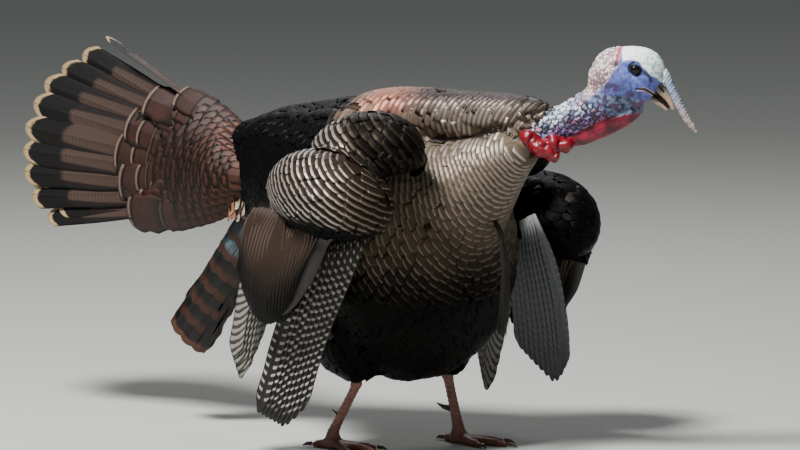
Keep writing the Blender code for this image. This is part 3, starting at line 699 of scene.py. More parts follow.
def made_skin(flesh):
    """One closed skin: melted from the flesh, fine over head, neck and legs, sunk under feathers."""
    mesh = melted("skin", flesh.points, flesh.triangles, 0.003, 0)
    owner = np.array([flesh.owner(p) for p in points_of(mesh).tolist()])
    bare = np.isin(owner, BARE + LEGS)
    even = evened(points_of(mesh), edges_of(mesh), 24, lambda number: np.where(
        bare, 1.0 * (number < 5), 1.0))
    moved(mesh, even)
    sunk = even - normals_of(mesh) * COAT_DEPTH * ~bare[:, None]
    moved(mesh, sunk)
    skin = Skin(mesh)
    subdivided(mesh, bare, 3)
    owner = np.array([flesh.owner(p) for p in points_of(mesh).tolist()])
    bare, legs = np.isin(owner, BARE), np.isin(owner, LEGS)
    edges = edges_of(mesh)
    points = evened(points_of(mesh), edges, 8, lambda number: 1.0 * (bare | legs))
    brow = gauss(np.linalg.norm(in_head(points) - np.array(SNOOD_ROOT), axis=1), 0.010) * bare
    points = evened(points, edges, 60, lambda number: brow)
    moved(mesh, points)
    normals = normals_of(mesh)
    local = in_head(points)
    mask = head_masks(local, owner)
    names = list(mask)
    for first in range(0, len(names), 3):           # softened, three masks at a time
        group = names[first:first + 3]
        packed = np.stack([mask[n] for n in group] + [mask[group[0]]] * (3 - len(group)), 1)
        packed = evened(packed, edges, 3, lambda number: np.ones(len(points)))
        mask.update({n: packed[:, i] for i, n in enumerate(group)})
    head = bare & (np.abs(local[:, 1]) < 0.05)
    lift, wart, grain = lifted_head(local, mask, head, points)
    scute_lift, scute = scutes(points, normals, owner)
    lift, wart = lift + scute_lift, np.maximum(wart, scute)
    points = points + normals * lift[:, None]
    local = in_head(points)
    out, mask["lid"] = socket(local)
    shaped = out_of_head(np.stack([local[:, 0], out, local[:, 2]], 1))
    points = np.where((owner == "head")[:, None], shaped, points)
    mask["lid"] = mask["lid"] * (owner == "head")
    points[:, 2] = np.where(legs, np.maximum(points[:, 2], 0), points[:, 2])
    moved(mesh, points)
    for name, values in mask.items():
        attribute(mesh, name, values)
    attribute(mesh, "wart", wart)
    attribute(mesh, "grain", grain)
    attribute(mesh, "forward", local[:, 0])
    attribute(mesh, "coat", 1.0 * ~(bare | legs))
    attribute(mesh, "black", body_marks(points)["black"])
    made = finished(object_of("skin", mesh), "bare_skin", skin_material())
    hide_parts(*FLESH)
    return skin, made


def skin_material():
    """Bare skin: white, blue, violet and red, moist over warts; dark brown to near black under the
    feathers, as painted shade where it shows between them.

    Its colours wander in patches of 14 mm, blotches of 6 mm and specks of 1.6 mm, over pores of
    1.2 mm that give the eye a soft, broken gloss.
    """
    names = ("crown", "nape", "throat", "neck", "low", "red", "lobes", "snood", "dusk", "streak",
             "gape", "lips", "violet", "leg", "lid", "wart", "grain", "coat", "black", "forward")
    paint, tints = Paint("warty_bare_skin", *names), chosen_for("head")
    mask = dict(zip(names, paint.marks))
    where, grain, forward = paint("place"), mask["grain"], mask["forward"]
    patch, blotch = paint("noise", where, 70, 4.0, 0.65), paint("noise", where, 160, 3.0)
    speck, pores = paint("noise", where, 620, 2.0), paint("cells", where, 800)
    gap = paint("ramp", mask["wart"], 0.42, 0.06)
    face = paint.over(
        paint("mix", paint("ramp", blotch, 0.3, 0.7), tints.face_deep, tints.face_light),
        (mask["violet"], "#4a2f66", paint("ramp", patch, 0.42, 0.60)),
        (mask["violet"], "#20324f", paint("ramp", blotch, 0.50, 0.68)))
    nape = paint.over(
        paint("mix", grain, tints.nape, "#d9b3a4"), (paint("ramp", patch, 0.50, 0.64), "#cfd2dc"),
        (gap, "#574253", 0.85), (paint("ramp", speck, 0.60, 0.68), "#8e2b36"))
    low = paint("mix", gap, paint("mix", grain, "#6c6a9c", "#94537c"), "#2a1f3a")
    neck = paint.over(
        paint("mix", grain, "#8fa3bd", tints.neck), (paint("ramp", grain, 0.80, 0.86), "#d9a2a0"),
        (paint("ramp", patch, 0.50, 0.60), "#3c4f78", 0.75), (gap, "#161f38"), (mask["low"], low))
    throat = paint.over(
        paint("mix", paint("ramp", blotch, 0.40, 0.60), "#1b2a3c", "#7482a6"),
        (paint("ramp", patch, 0.50, 0.58), "#5b3a63"), (paint("ramp", patch, 0.66, 0.70), "#5c1528"))
    brow = paint("MULTIPLY", paint("ramp", forward, 0.004, 0.026), paint("ramp", blotch, 0.48, 0.60))
    crown = paint.over(
        paint("mix", paint("ramp", blotch, 0.35, 0.7), tints.crown, "#e2f1f2"), (brow, "#6a9ba4", 0.8))
    snood = paint.over(
        paint("mix", paint("ramp", forward, 0.05, 0.10), "#8698b3", "#a8938f"),
        (paint("ramp", forward, 0.056, 0.040), "#d3e2e6"), (paint("ramp", speck, 0.60, 0.66), "#343b48"))
    red = paint.over(
        paint("mix", paint("ramp", patch, 0.38, 0.62), tints.dewlap_deep, tints.dewlap_light),
        (mask["lobes"], paint("mix", blotch, tints.lobe_deep, tints.lobe_light)))
    leg = paint.over(paint("mix", blotch, "#6b4238", tints.leg), (gap, "#2e1a16", 0.75))
    colour = paint.over(
        face, (mask["nape"], nape), (mask["neck"], neck), (mask["throat"], throat),
        # The ear hole's part of dusk is painted shade.
        (mask["crown"], crown), (mask["streak"], "#b3262f"), (mask["dusk"], "#122433"),
        (mask["snood"], snood), (mask["red"], red),
        (paint("ramp", mask["lips"], 0.35, 0.8), "#b39a98", 0.85),
        # Painted shade: a dark line in the groove of the mouth.
        (paint("ramp", mask["gape"], 0.3, 0.6), "#24101a"), (mask["lid"], "#151a30"),
        (paint("ramp", mask["leg"], 0.05, 0.30), leg),
        # Painted shade: the skin under the coat is dark where it shows between feathers.
        (mask["coat"], paint("mix", mask["black"], "#1f1712", "#060506")))
    return paint.finish(
        Base_Color=colour, Roughness=paint("MULTIPLY_ADD", mask["red"], -0.12, 0.48),
        Normal=paint("bump", pores, 0.35, 0.0006), Subsurface_Weight=0.08,
        Subsurface_Radius=(0.004, 0.0015, 0.001))


def eyes():
    """Dark brown eyes: a ball with a low clear dome over the iris."""
    paint, sizes = Paint("wet_brown_eye", "reach"), chosen_for("head")
    iris, ball = sizes.iris_radius, sizes.eye_radius
    [reach] = paint.marks
    pupil_edge, iris_edge = paint("ramp", reach, 0.0024, 0.0027), paint("ramp", reach, 0.0034, 0.0046)
    colour = paint.over(paint("mix", pupil_edge, "#010101", sizes.iris), (iris_edge, "#060404"))
    material = paint.finish(Base_Color=colour, Roughness=0.25, Specular_IOR_Level=0.2,
                            Coat_Weight=0.35, Coat_Roughness=0.02)
    edge = math.asin(iris / ball)
    angles = np.linspace(math.pi, edge, 26)
    radius, depth = ball * np.sin(angles), ball * np.cos(angles)
    share = np.linspace(1, 0, 12)[1:]
    dome = ball * math.cos(edge) + 0.0021 * np.sqrt(1 - share**2)
    radius, depth = np.append(radius, iris * share), np.append(depth, dome)
    spokes = 48
    turn = np.arange(spokes) / spokes * 2 * math.pi
    for side, sign in SIDES.items():
        ring = np.stack([
            np.outer(radius, np.cos(turn)), np.repeat(sign * depth[:, None], spokes, 1),
            np.outer(radius, np.sin(turn))], -1)
        points = out_of_head(ring.reshape(-1, 3) + np.array((EYE_PLACE.x, sign * EYE_OUT, EYE_PLACE.z)))
        grid = np.arange(len(radius) * spokes).reshape(-1, spokes)
        after = np.roll(grid, -1, 1)
        quads = np.stack([grid[:-1], after[:-1], after[1:], grid[1:]], -1).reshape(-1, 4)
        mesh = mesh_from(f"eye_{side}_ball", points, [quads[:, ::-sign]])
        attribute(mesh, "reach", np.repeat(radius, spokes))
        made = finished(object_of(f"eye_{side}_ball", mesh), "eye", material)
        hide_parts(f"eye_{side}")


def bills():
    """Horn bill with a nostril slit on each side, painted near black as shade, paler along its edges and at
    the tip.
    """
    paint = Paint("pale_bill_horn", "forward", "height", "slit")
    forward, height, slit = paint.marks
    colour = paint.over(
        paint("mix", paint("noise", paint("place"), 300, 3.0), "#a3876f", chosen_for("head").horn),
        (paint("ramp", forward, 0.052, 0.040), "#5a5a6c"),
        # The nostril slit is painted near black: painted shade in the opening.
        (paint("ramp", height, -0.008, 0.004), "#5b5350", 0.75), (slit, "#0b0a0b"))
    material = paint.finish(Base_Color=colour, Roughness=0.33)
    for node in ("bill_upper", "bill_lower"):
        mesh = melted(node + "_horn", *gathered([node])[:2], 0.0009, 8)
        points, normals = points_of(mesh), normals_of(mesh)
        local = in_head(points)
        slit = near_line(local[:, 0], local[:, 2], (0.0430, 0.0040), (0.0500, 0.0000), 0.0015)
        slit = slit * (node == "bill_upper") * (np.abs(local[:, 1]) > 0.002)
        points = points - normals * (0.0014 * slit[:, None])
        moved(mesh, points)
        attribute(mesh, "forward", local[:, 0])
        attribute(mesh, "height", local[:, 2])
        attribute(mesh, "slit", step(slit, 0.25, 0.6))
        made = finished(object_of(node + "_horn", mesh), "horn", material)
        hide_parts(node)


def mouth_lining():
    """The inner skin of the cheeks, which closes the slightly open bill on both sides, near black as
    painted shade inside the mouth.
    """
    paint = Paint("mouth_lining_shade")
    # Near black: painted shade inside the open bill.
    material = paint.finish(Base_Color="#1c0a0c", Roughness=0.35)
    line = np.array([(0.034, -0.0088), (0.044, -0.0094), (0.056, -0.0122), (0.0655, -0.0160)])
    wide = np.array([0.0068, 0.0058, 0.0040, 0.0018])
    local = np.array([[(f, side * w, u) for (f, u), w in zip(line, wide)] for side in SIDES.values()])
    paths = out_of_head(local)
    facing = np.array([[(0, side, 0)] for side in SIDES.values()]) @ np.array(HEAD_TURN).T
    made = vanes("mouth_lining", BRISTLE._replace(outline=lambda s: 1 - 0.5 * s, camber=0.0), paths, facing,
                 0.0032, np.array([(0.25, 0.5), (0.75, 0.5)]), {}, seed=64)
    finished(made, "horn", material)


def claws():
    """Claws and spurs: dark brown horn, smooth and worn."""
    paint = Paint("dark_claw_horn")
    colour = paint("mix", paint("noise", paint("place"), 260, 3.0), "#2f251f", "#4d4037")
    material = paint.finish(Base_Color=colour, Roughness=0.32)
    for side in SIDES:
        nodes = [f"claw_{side}_{toe}" for toe in ("inner", "middle", "outer", "hind")] + [f"spur_{side}"]
        mesh = melted(f"claws_{side}", *gathered(nodes)[:2], 0.0007, 5)
        made = finished(object_of(f"claws_{side}", mesh), "horn", material)
        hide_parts(*nodes)


# ---- rows of feathers over the skin ----
def travelled(points, triangles, pace, start):
    """Rows passed on the way from the start to each point, where pace is the local row height.

    Every corner of every triangle is reckoned again and again from the other two, as a wave front
    would cross it, until no point is reached sooner.
    """
    c = triangles.T.ravel()
    a, b = np.roll(triangles, -1, 1).T.ravel(), np.roll(triangles, -2, 1).T.ravel()
    height = (pace[a] + pace[b] + pace[c]) / 3
    to_a, to_b = points[a] - points[c], points[b] - points[c]
    aa, bb, ab = ((p * q).sum(1) / height**2 for p, q in ((to_a, to_a), (to_b, to_b), (to_a, to_b)))
    area = np.maximum(aa * bb - ab**2, 1e-9)
    qaa, qbb, qab = bb / area, aa / area, -ab / area
    total = qaa + 2 * qab + qbb
    order = np.argsort(c, kind="stable")
    ids, first = np.unique(c[order], return_index=True)
    unreached = 1e4
    rows = np.full(len(points), unreached)
    rows[list(start)] = list(start.values())
    while True:
        ra, rb = rows[a], rows[b]
        s = (qaa + qab) * ra + (qab + qbb) * rb
        k = qaa * ra**2 + 2 * qab * ra * rb + qbb * rb**2 - 1
        inside = s**2 - total * k
        t = (s + np.sqrt(np.maximum(inside, 0))) / total
        ahead = (qaa * (ra - t) + qab * (rb - t) <= 0) & (qab * (ra - t) + qbb * (rb - t) <= 0)
        valid = ahead & (inside >= 0) & (ra < unreached) & (rb < unreached)
        along_edge = np.minimum(ra + np.sqrt(aa), rb + np.sqrt(bb))
        found = np.where(valid, np.minimum(t, along_edge), along_edge)
        best = np.minimum(rows[ids], np.minimum.reduceat(found[order], first))
        change = (rows[ids] - best).max()
        rows[ids] = best
        if change < 0.002:
            return rows


def lie_of(points, normals, triangles, rows, passes=6):
    """The way that feathers lie at each point: up the slope of the rows, smoothed."""
    p, q, r = (points[triangles[:, i]] for i in range(3))
    face = np.cross(q - p, r - p)
    twice = np.maximum((face**2).sum(1, keepdims=True), 1e-18)
    f = rows[triangles][:, :, None]
    slope = (f[:, 0] * np.cross(face, r - q) + f[:, 1] * np.cross(face, p - r)
             + f[:, 2] * np.cross(face, q - p)) / twice
    slope = unit(slope)
    for _ in range(passes):
        gathered = np.zeros_like(points)
        for i in range(3):
            np.add.at(gathered, triangles[:, i], slope)
        gathered -= normals * (gathered * normals).sum(1, keepdims=True)
        lie = unit(gathered)
        slope = unit(lie[triangles].sum(1))
    return lie


def level_lines(triangles, rows, level):
    """The chains of mesh edges that a level crosses: lists of (point, point, share)."""
    values = rows[triangles] - level
    crossing = (values.min(1) < 0) & (values.max(1) >= 0)
    steps = {}
    for corners, height in zip(triangles[crossing].tolist(), values[crossing].tolist()):
        cut = []
        for i in range(3):
            j = (i + 1) % 3
            if (height[i] < 0) != (height[j] < 0):
                cut.append((min(corners[i], corners[j]), max(corners[i], corners[j])))
        steps.setdefault(cut[0], []).append(cut[1])
        steps.setdefault(cut[1], []).append(cut[0])
    chains, unused = [], set(steps)
    ends = sorted(edge for edge in steps if len(steps[edge]) == 1)
    for start in ends + sorted(steps):
        if start not in unused:
            continue
        chain = [start]
        unused.discard(start)
        while True:
            ahead = [edge for edge in steps[chain[-1]] if edge in unused]
            if not ahead:
                break
            chain.append(ahead[0])
            unused.discard(ahead[0])
        if len(chain) > 2:
            closed = chain[0] in steps[chain[-1]]
            chains.append(chain + chain[:1] if closed else chain)
    return chains


Roots = namedtuple("Roots", "place lie unwrap size wide")


def rooted(points, normals, triangles, pace, wide, start, first, last, back=0.0, seed=1):
    """Staggered rows of feather roots on the level lines, with their lie and place on an unwrap.

    wide holds the step between neighbours of a row at each point, and back is how far behind the
    start the first row is rooted so that it closes over it, in row heights.
    """
    rows = travelled(points, triangles, pace, start)
    lie = lie_of(points, normals, triangles, rows)
    rng = np.random.default_rng(seed)
    place, way, unwrap, size, width = [], [], [], [], []
    for number, level in enumerate(np.arange(first, last)):
        used = 0.0
        for chain in level_lines(triangles, rows, level + 0.013):
            a, b = np.array(chain).T
            share = ((level + 0.013 - rows[a]) / (rows[b] - rows[a]))[:, None]
            line = points[a] + (points[b] - points[a]) * share
            turn = lie[a] + (lie[b] - lie[a]) * share
            height = pace[a] + (pace[b] - pace[a]) * share[:, 0]
            apart = wide[a] + (wide[b] - wide[a]) * share[:, 0]
            gaps = np.linalg.norm(np.diff(line, axis=0), axis=1)
            count_to = np.concatenate([[0], np.cumsum(2 * gaps / (apart[1:] + apart[:-1]))])
            at = np.arange(0.5 * (number % 2) + 0.25, count_to[-1], 1.0)
            at = np.clip(at + rng.uniform(-0.12, 0.12, len(at)), 0, count_to[-1])
            spot = np.stack([np.interp(at, count_to, line[:, i]) for i in range(3)], 1)
            way.append(np.stack([np.interp(at, count_to, turn[:, i]) for i in range(3)], 1))
            size.append(np.interp(at, count_to, height))
            width.append(np.interp(at, count_to, apart))
            behind = back if number == 0 else 0.0
            place.append(spot - way[-1] * size[-1][:, None] * behind)
            unwrap.append(np.stack([used + at, np.full(len(at), float(number))], 1))
            used += count_to[-1] + 1
    unwrap = np.concatenate(unwrap)
    unwrap = 0.01 + 0.98 * unwrap / np.maximum(unwrap.max(0), 1)
    return Roots(np.concatenate(place), unit(np.concatenate(way)), unwrap, np.concatenate(size),
                 np.concatenate(width))


# ---- vanes ----
def walked(skin, roots, lengths, strides=4):
    """Midlines that leave each root along its lie and follow the skin, with the skin's facing.

    Where the skin turns away too sharply the midline runs straight on, as a feather's tip does.
    """
    count = len(roots.place)
    paths, facing = np.empty((count, strides + 1, 3)), np.empty((count, strides + 1, 3))
    for i, (root, lie, length) in enumerate(zip(roots.place, roots.lie, lengths)):
        place, normal = skin.nearest(root)
        way, stride = Vector(lie), length / strides
        for k in range(strides + 1):
            paths[i, k], facing[i, k] = place, normal
            way = (way - normal * way.dot(normal)).normalized()
            ahead = place + way * stride
            found, turned = skin.nearest(ahead)
            if turned.dot(normal) > 0.7 and (found - ahead).length < 0.6 * stride:
                place, normal = found, turned
            else:
                place = ahead
    return paths, facing


def drops(skin, paths, facing, half):
    """How far the skin falls away under each side of each feather."""
    side = unit(np.cross(facing[:, 1], paths[:, 2] - paths[:, 0]))
    found = np.zeros((len(paths), 2))
    for i, (place, normal, out, wide) in enumerate(zip(paths[:, 1], facing[:, 1], side, half)):
        for k, way in enumerate((-1, 1)):
            there, _ = skin.nearest(place + out * way * wide)
            found[i, k] = (Vector(place) - there).dot(Vector(normal))
    return np.clip(found, -0.3 * half[:, None], 0.8 * half[:, None])


def interpolated(samples, where):
    """Evenly spaced samples (N, K, 3) read at shares (N, M) of the way along."""
    last = samples.shape[1] - 1
    at = np.clip(where, 0, 1) * last
    low = np.minimum(at.astype(int), last - 1)
    share = (at - low)[:, :, None]
    rows = np.arange(len(samples))[:, None]
    return samples[rows, low] * (1 - share) + samples[rows, low + 1] * share


def contour_outline(s):
    """Half width of a body feather along its length, as a share of the widest."""
    return (0.42 + 0.58 * np.sin(np.minimum(s / 0.62, 1) * math.pi / 2)) * (1 - 0.16 * step(s, 0.75, 1))


def flight_outline(s):
    """A wing feather: narrow at the quill, long and even, rounded off at the end."""
    return (0.30 + 0.70 * step(s, 0.0, 0.30)) * (1 - 0.45 * step(s, 0.93, 1.0) ** 2)


def tail_outline(s):
    """A tail feather widens all the way to a broad end."""
    return 0.40 + 0.60 * step(s, 0.0, 0.85)


Shape = namedtuple("Shape", "outline rows columns tip_round lined camber shaft")
CONTOUR = Shape(contour_outline, np.array([0, 0.22, 0.42, 0.6, 0.76, 0.88, 0.95, 1.0]),
                np.linspace(-1, 1, 7), 0.075, False, 0.022, 0.0)


def ring_outline(s):
    """A neck feather is as wide at its end, so that a row makes one unbroken ring."""
    return 0.5 + 0.5 * np.sin(np.minimum(s / 0.5, 1) * math.pi / 2)


RINGED = CONTOUR._replace(outline=ring_outline, tip_round=0.035, camber=0.055)


def outer_faces(rows, columns, lined):
    """Faces of one closed vane: its upper grid, its lower side and its two ends."""
    v = np.arange(rows * columns).reshape(rows, columns)
    quads = np.stack([v[:-1, :-1], v[1:, :-1], v[1:, 1:], v[:-1, 1:]], -1).reshape(-1, 4)
    if lined:
        inner = rows * columns + np.arange(rows * (columns - 2)).reshape(rows, columns - 2)
        b = np.concatenate([v[:, :1], inner, v[:, -1:]], 1)
    else:
        b = v[:, [0, -1]]
    under = np.stack([b[:-1, :-1], b[:-1, 1:], b[1:, 1:], b[1:, :-1]], -1).reshape(-1, 4)
    root = np.concatenate([v[0], b[0, 1:-1][::-1]])
    tip = np.concatenate([v[-1][::-1], b[-1, 1:-1]])
    return np.concatenate([quads, under]), np.stack([root, tip])


def vanes(name, shape, paths, facing, half, unwrap, marks, patch=0.003, rise=0.0, fall=0.0, seed=3):
    """One piece made of many closed vanes.

    paths and facing are (N, K, 3) midlines with the way up; half is (N, 2), the widths of the two
    webs. rise lifts the tips off the midline, fall (N, 2) lowers the rims. marks holds one number
    for each vane by name, stored for the material. What is the same for all vanes may be given once.
    """
    count, rows, columns = len(paths), len(shape.rows), len(shape.columns)
    facing = np.broadcast_to(facing, paths.shape)
    half, fall = np.broadcast_to(half, (count, 2)), np.broadcast_to(fall, (count, 2))
    rng = np.random.default_rng(seed)
    s = np.repeat(shape.rows, columns)
    t = np.tile(shape.columns, rows)
    where = np.broadcast_to(s - shape.tip_round * np.abs(t) ** 2.3 * s, (count, len(s)))
    lengths = np.linalg.norm(np.diff(paths, axis=1), axis=2).sum(1)
    centre, up = interpolated(paths, where), unit(interpolated(facing, where))
    ahead = interpolated(paths, where + 0.06) - interpolated(paths, where - 0.06)
    side = unit(np.cross(up, ahead))
    web = np.where(t < 0, half[:, :1], half[:, 1:])
    ragged = 1 + 0.05 * rng.standard_normal((count, 1)) * np.sin(s * 19 + rng.uniform(0, 6, (count, 1)))
    out = web * shape.outline(s) * t * ragged
    height = np.asarray(rise).reshape(-1, 1) * s**0.8
    height = height - np.where(t < 0, fall[:, :1], fall[:, 1:]) * t**2 - shape.camber * web * t**2
    keel = shape.shaft * (1 - 0.7 * s) * np.exp(-(t / 0.055) ** 2)
    points = centre + side * out[..., None] + up * (height + keel)[..., None]
    along, across = s, t
    if shape.lined:
        inside = np.tile(np.arange(columns), rows)
        inside = (inside > 0) & (inside < columns - 1)
        depth = (0.0005 * (1 - np.abs(t)) + 2.2 * keel)[inside]
        points = np.concatenate([points, points[:, inside] - up[:, inside] * depth[None, :, None]], 1)
        along, across = np.concatenate([s, s[inside]]), np.concatenate([t, t[inside]])
    each = points.shape[1]
    offset = (np.arange(count) * each)[:, None, None]
    faces = [(f + offset).reshape(-1, f.shape[1]) for f in outer_faces(rows, columns, shape.lined)]
    mesh = mesh_from(name, points.reshape(-1, 3), faces)
    attribute(mesh, "along", np.tile(along, count))
    attribute(mesh, "across", np.tile(across, count))
    attribute(mesh, "under", np.tile(np.arange(each) >= rows * columns, count))
    attribute(mesh, "reach", (along[None] * lengths[:, None]).ravel())
    for mark, values in {"tuft": rng.uniform(0, 1, count), **marks}.items():
        attribute(mesh, mark, np.repeat(values, each))
    corners = np.empty(len(mesh.loops), np.int32)
    mesh.loops.foreach_get("vertex_index", corners)
    size = np.broadcast_to(patch, 2)
    at = np.repeat(unwrap, each, 0) + np.tile(
        np.stack([across * size[0] / 2, (along - 0.5) * size[1]], 1), (count, 1))
    mesh.uv_layers.new(name="OFBake").data.foreach_set("uv", at[corners].astype(np.float32).ravel())
    return object_of(name, mesh)


def strips(name, shape, paths, facing, half, marks, seed):
    """The same with its map divided into one upright strip for each vane."""
    count = len(paths)
    unwrap = np.stack([(np.arange(count) + 0.5) / count, np.full(count, 0.5)], 1)
    return vanes(name, shape, paths, facing, half, unwrap, marks, (0.94 / count, 0.97), seed=seed)


# ---- coats ----
# start: BARE, or a pole's place and radius; back: how far behind it the first row is rooted, in
# rows; rows and widths: functions of place; overlap: lengths in rows; hem: the least height.
Coat = namedtuple("Coat", "nodes start back rows widths overlap rise hem")
FIRST_ROW, LAST_ROW = 0.2, 400                  # in rows from the start; no coat has so many
NECK_SPARE = 0.008                              # how far past its end the neck's coat may begin
NECK_RIM = (0.250, 0.460)                       # no feathers ahead of and above this place
STANDING = 0.72                                 # nor where the skin faces ahead by more than this


def body_marks(places):
    """How black, dark, pale or coppery the plumage is, from where its roots are on the body.
    Pale and plum are painted sheen, part of the dark is painted shade and part of the soft ground painted
    light.
    """
    x, _, z = (places - SHIFTED).T
    black = step(x - 0.3 * (0.47 - z), 0.022, -0.012) * step(z, 0.27, 0.33)
    # Darker low down: partly the belly's own dark plumage, partly painted shade under the body; also darker
    # on the sides behind the breast, below the shoulders.
    belly = step(z, 0.295, 0.215)
    belly = np.maximum(belly, 0.6 * step(x, 0.06, 0.0) * step(z, 0.40, 0.34))
    neck = step(z, 0.395, 0.415) * step(x, -0.02, 0.02)
    copper = np.exp(-((x - 0.065) / 0.045) ** 2) * neck * step(z, 0.43, 0.45)
    # Dark plum along the top of the neck: painted sheen, the dark purple side of the feathers' gleam.
    plum = neck * step(z, 0.428, 0.468) * step(x, 0.05, 0.13)
    mark = {"black": black, "belly": belly * (1 - black), "copper": copper, "plum": plum}
    throat = step(z, 0.30, 0.37) * step(x, 0.05, 0.13)
    # Silver mixed into the bands, most on the head end of the neck and on the throat: painted sheen.
    pale = neck * (0.15 + 0.75 * step(x, 0.08, 0.20)) + (0.22 + 0.10 * throat) * (1 - neck)
    pale = pale * (1 - 0.9 * plum)
    # A lighter ground: the neck's own even rings, and painted light on the lower front of the flanks.
    soft = np.maximum(0.9 * neck, 0.60 * step(z, 0.24, 0.32) * step(x, 0.0, 0.08) + 0.12 * throat)
    thin = (1 - throat) * (1 - neck)
    return {**mark, "pale": pale, "ring": np.maximum(neck, 0.8 * throat), "thin": thin, "soft": soft}


def plain_marks(places, **marks):
    """The same marks for a whole coat."""
    names = ("black", "belly", "copper", "pale", "plum", "ring", "thin", "soft")
    return {name: np.full(len(places), float(marks.get(name, 0))) for name in names}


WING_AHEAD, WING_ASIDE = 0.643, 0.766           # cosine and sine of 50 degrees, the wings' slant


def view_of_wing(places, part):
    """How far back on its wing each root is, how high on its lump and, on the left, how near the breast,
    where the marks lay painted shade.
    """
    x, y, z = (places - SHIFTED).T
    middles = np.array([getattr(wing, part) for wing in WINGS])[(y > 0).astype(int)]
    outer = WING_ASIDE * (y - middles[:, 1]) - WING_AHEAD * (x - middles[:, 0])
    back = WING_AHEAD * np.abs(y) - WING_ASIDE * x
    return back, z - middles[:, 2], (y > 0) * step(outer, 0.024, 0.006)


def wing_marks(places):
    """Forearm coverts: dark brown with thin silvery bands at the back, the silver painted sheen; darker
    towards the front and in a black hem over the shield, both painted shade.

    On the left the side that faces the breast is painted nearly black as shade.
    """
    back, high, left = view_of_wing(places, "forearm")
    marks = plain_marks(places, ring=0.9, thin=1.0)
    # Silver towards the back: painted sheen.
    marks["pale"] = (0.12 + 0.80 * step(back, 0.010, 0.070)) * (1 - left)
    # Painted shade: the lump's front, the hem along its lower edge over the shield and, on the left, the
    # side facing the breast.
    hem = high + 0.014 - 0.012 * step(back, 0.02, 0.09)
    marks["belly"] = np.max([0.35 * step(back, 0.055, 0.0), step(hem, 0.0, -0.018), left], axis=0)
    marks["black"] = 0.9 * left + 0.8 * step(hem, -0.006, -0.022) * (1 - left)
    return marks


def ground_for(laid, flesh, field):
    """The part of the field that a coat lies on, its row heights and widths, and where it begins."""
    keep = flesh.belongs(field.points, laid.nodes)
    if laid.start is BARE:                          # this coat begins a little way up the bare neck
        keep |= flesh.belongs(field.points, BARE) & (past_neck(field.points) < NECK_SPARE)
    triangles = field.triangles[keep[field.triangles].sum(1) >= 2]
    used, renumbered = np.unique(triangles, return_inverse=True)
    points = field.points[used]
    pace = laid.rows(points - SHIFTED)
    wide = pace * laid.widths(points - SHIFTED)
    if laid.start is BARE:
        first = (past_neck(points) > 0) & flesh.belongs(points, BARE)
    else:
        pole, radius = laid.start
        gap = np.linalg.norm(points - np.array(pole), axis=1)
        first = gap < max(radius, gap.min() * 1.01)
        if laid.back:                               # rows stand closer round the pole of a lump
            pace = pace * (0.4 + 0.6 * step(gap, 0.002, 0.030))
    start = {i: 0.0 for i in np.nonzero(first)[0]}
    return points, field.normals[used], renumbered.reshape(-1, 3), pace, wide, start


def kept(roots, laid, skin):
    """Which roots stay: those over the coat's hem and clear of the bare neck's end."""
    x, _, z = (roots.place - SHIFTED).T
    facing = np.array([skin.nearest(p)[1] for p in roots.place])
    standing = (facing[:, 0] > STANDING) & (z > SHOULDER_HEIGHT) & (laid.start is BARE)
    return (z > laid.hem) & ~standing & ~((x > NECK_RIM[0]) & (z > NECK_RIM[1]))


def coat(name, flesh, field, skin, laid, marks, pieces=None, seed=1):
    """Lays one coat of body feathers over some nodes, and returns its pieces.

    pieces names each piece with a test of the root's place, so that none grows too large. Ringed
    feathers are more even than the rest, and those in a hollow narrower, flatter and darker, which is
    painted shade.
    """
    ground, rng = ground_for(laid, flesh, field), np.random.default_rng(seed)
    roots = rooted(*ground, FIRST_ROW, LAST_ROW, laid.back, seed)
    ring = marks(roots.place)["ring"]
    turn = (rng.normal(0, 0.06, len(ring)) * (1 - 0.8 * ring))[:, None]
    across = np.cross(roots.lie, unit(roots.place - ground[0].mean(0)))
    roots = roots._replace(lie=unit(roots.lie + turn * across))
    settled = kept(roots, laid, skin)
    roots, ring = Roots(*[part[settled] for part in roots]), ring[settled]
    uneven = rng.uniform(-0.06, 0.08, len(ring)) * (1 - 0.85 * ring)
    lengths = roots.size * laid.overlap * (1 + uneven)
    if laid.start is BARE:                          # short where the coat ends round the bare neck
        x, _, z = (roots.place - SHIFTED).T
        lengths = lengths * (1 - 0.5 * step(x, 0.232, 0.256) * (z > 0.435))
    half = roots.wide * (0.86 + 0.12 * ring)
    paths, facing = walked(skin, roots, lengths)
    fall = drops(skin, paths, facing, half)
    sunk = -fall.sum(1) / half                      # how far the skin rises on both sides
    hollow, deep = step(sunk, 0.12, 0.45), step(sunk, 0.35, 0.60)
    half = half * (1 - 0.5 * hollow)
    fall = np.maximum(fall, -0.08 * half[:, None])
    rise = laid.rise * lengths * (1 + rng.uniform(-0.2, 0.2, len(ring)) * (1 - ring)) * (1 - hollow)
    made = []
    for piece, test in (pieces or {name: lambda p: np.ones(len(p), bool)}).items():
        chosen = test(roots.place - SHIFTED) & (deep < 0.9)
        marked = {k: v[chosen] for k, v in marks(roots.place).items()}
        # Painted shade: feathers deep in a hollow are darkened.
        marked["belly"] = np.maximum(marked["belly"], 0.9 * deep[chosen] * (ring[chosen] < 0.85))
        made.append(vanes(
            piece, RINGED if piece == "coat_neck" else CONTOUR, paths[chosen], facing[chosen],
            half[chosen, None], roots.unwrap[chosen], marked, rise=rise[chosen], fall=fall[chosen],
            seed=seed))
    return made


Field = namedtuple("Field", "points normals triangles")


def trunk_widths(p):
    """Width step over row height: wide rings on the neck, squarer feathers on belly and back."""
    x, _, z = p.T
    neck = 1.5 + 0.7 * step(x, 0.0, 0.06)
    return np.where(z > SHOULDER_HEIGHT, neck, 1.35 + 0.50 * step(z, 0.26, 0.36))


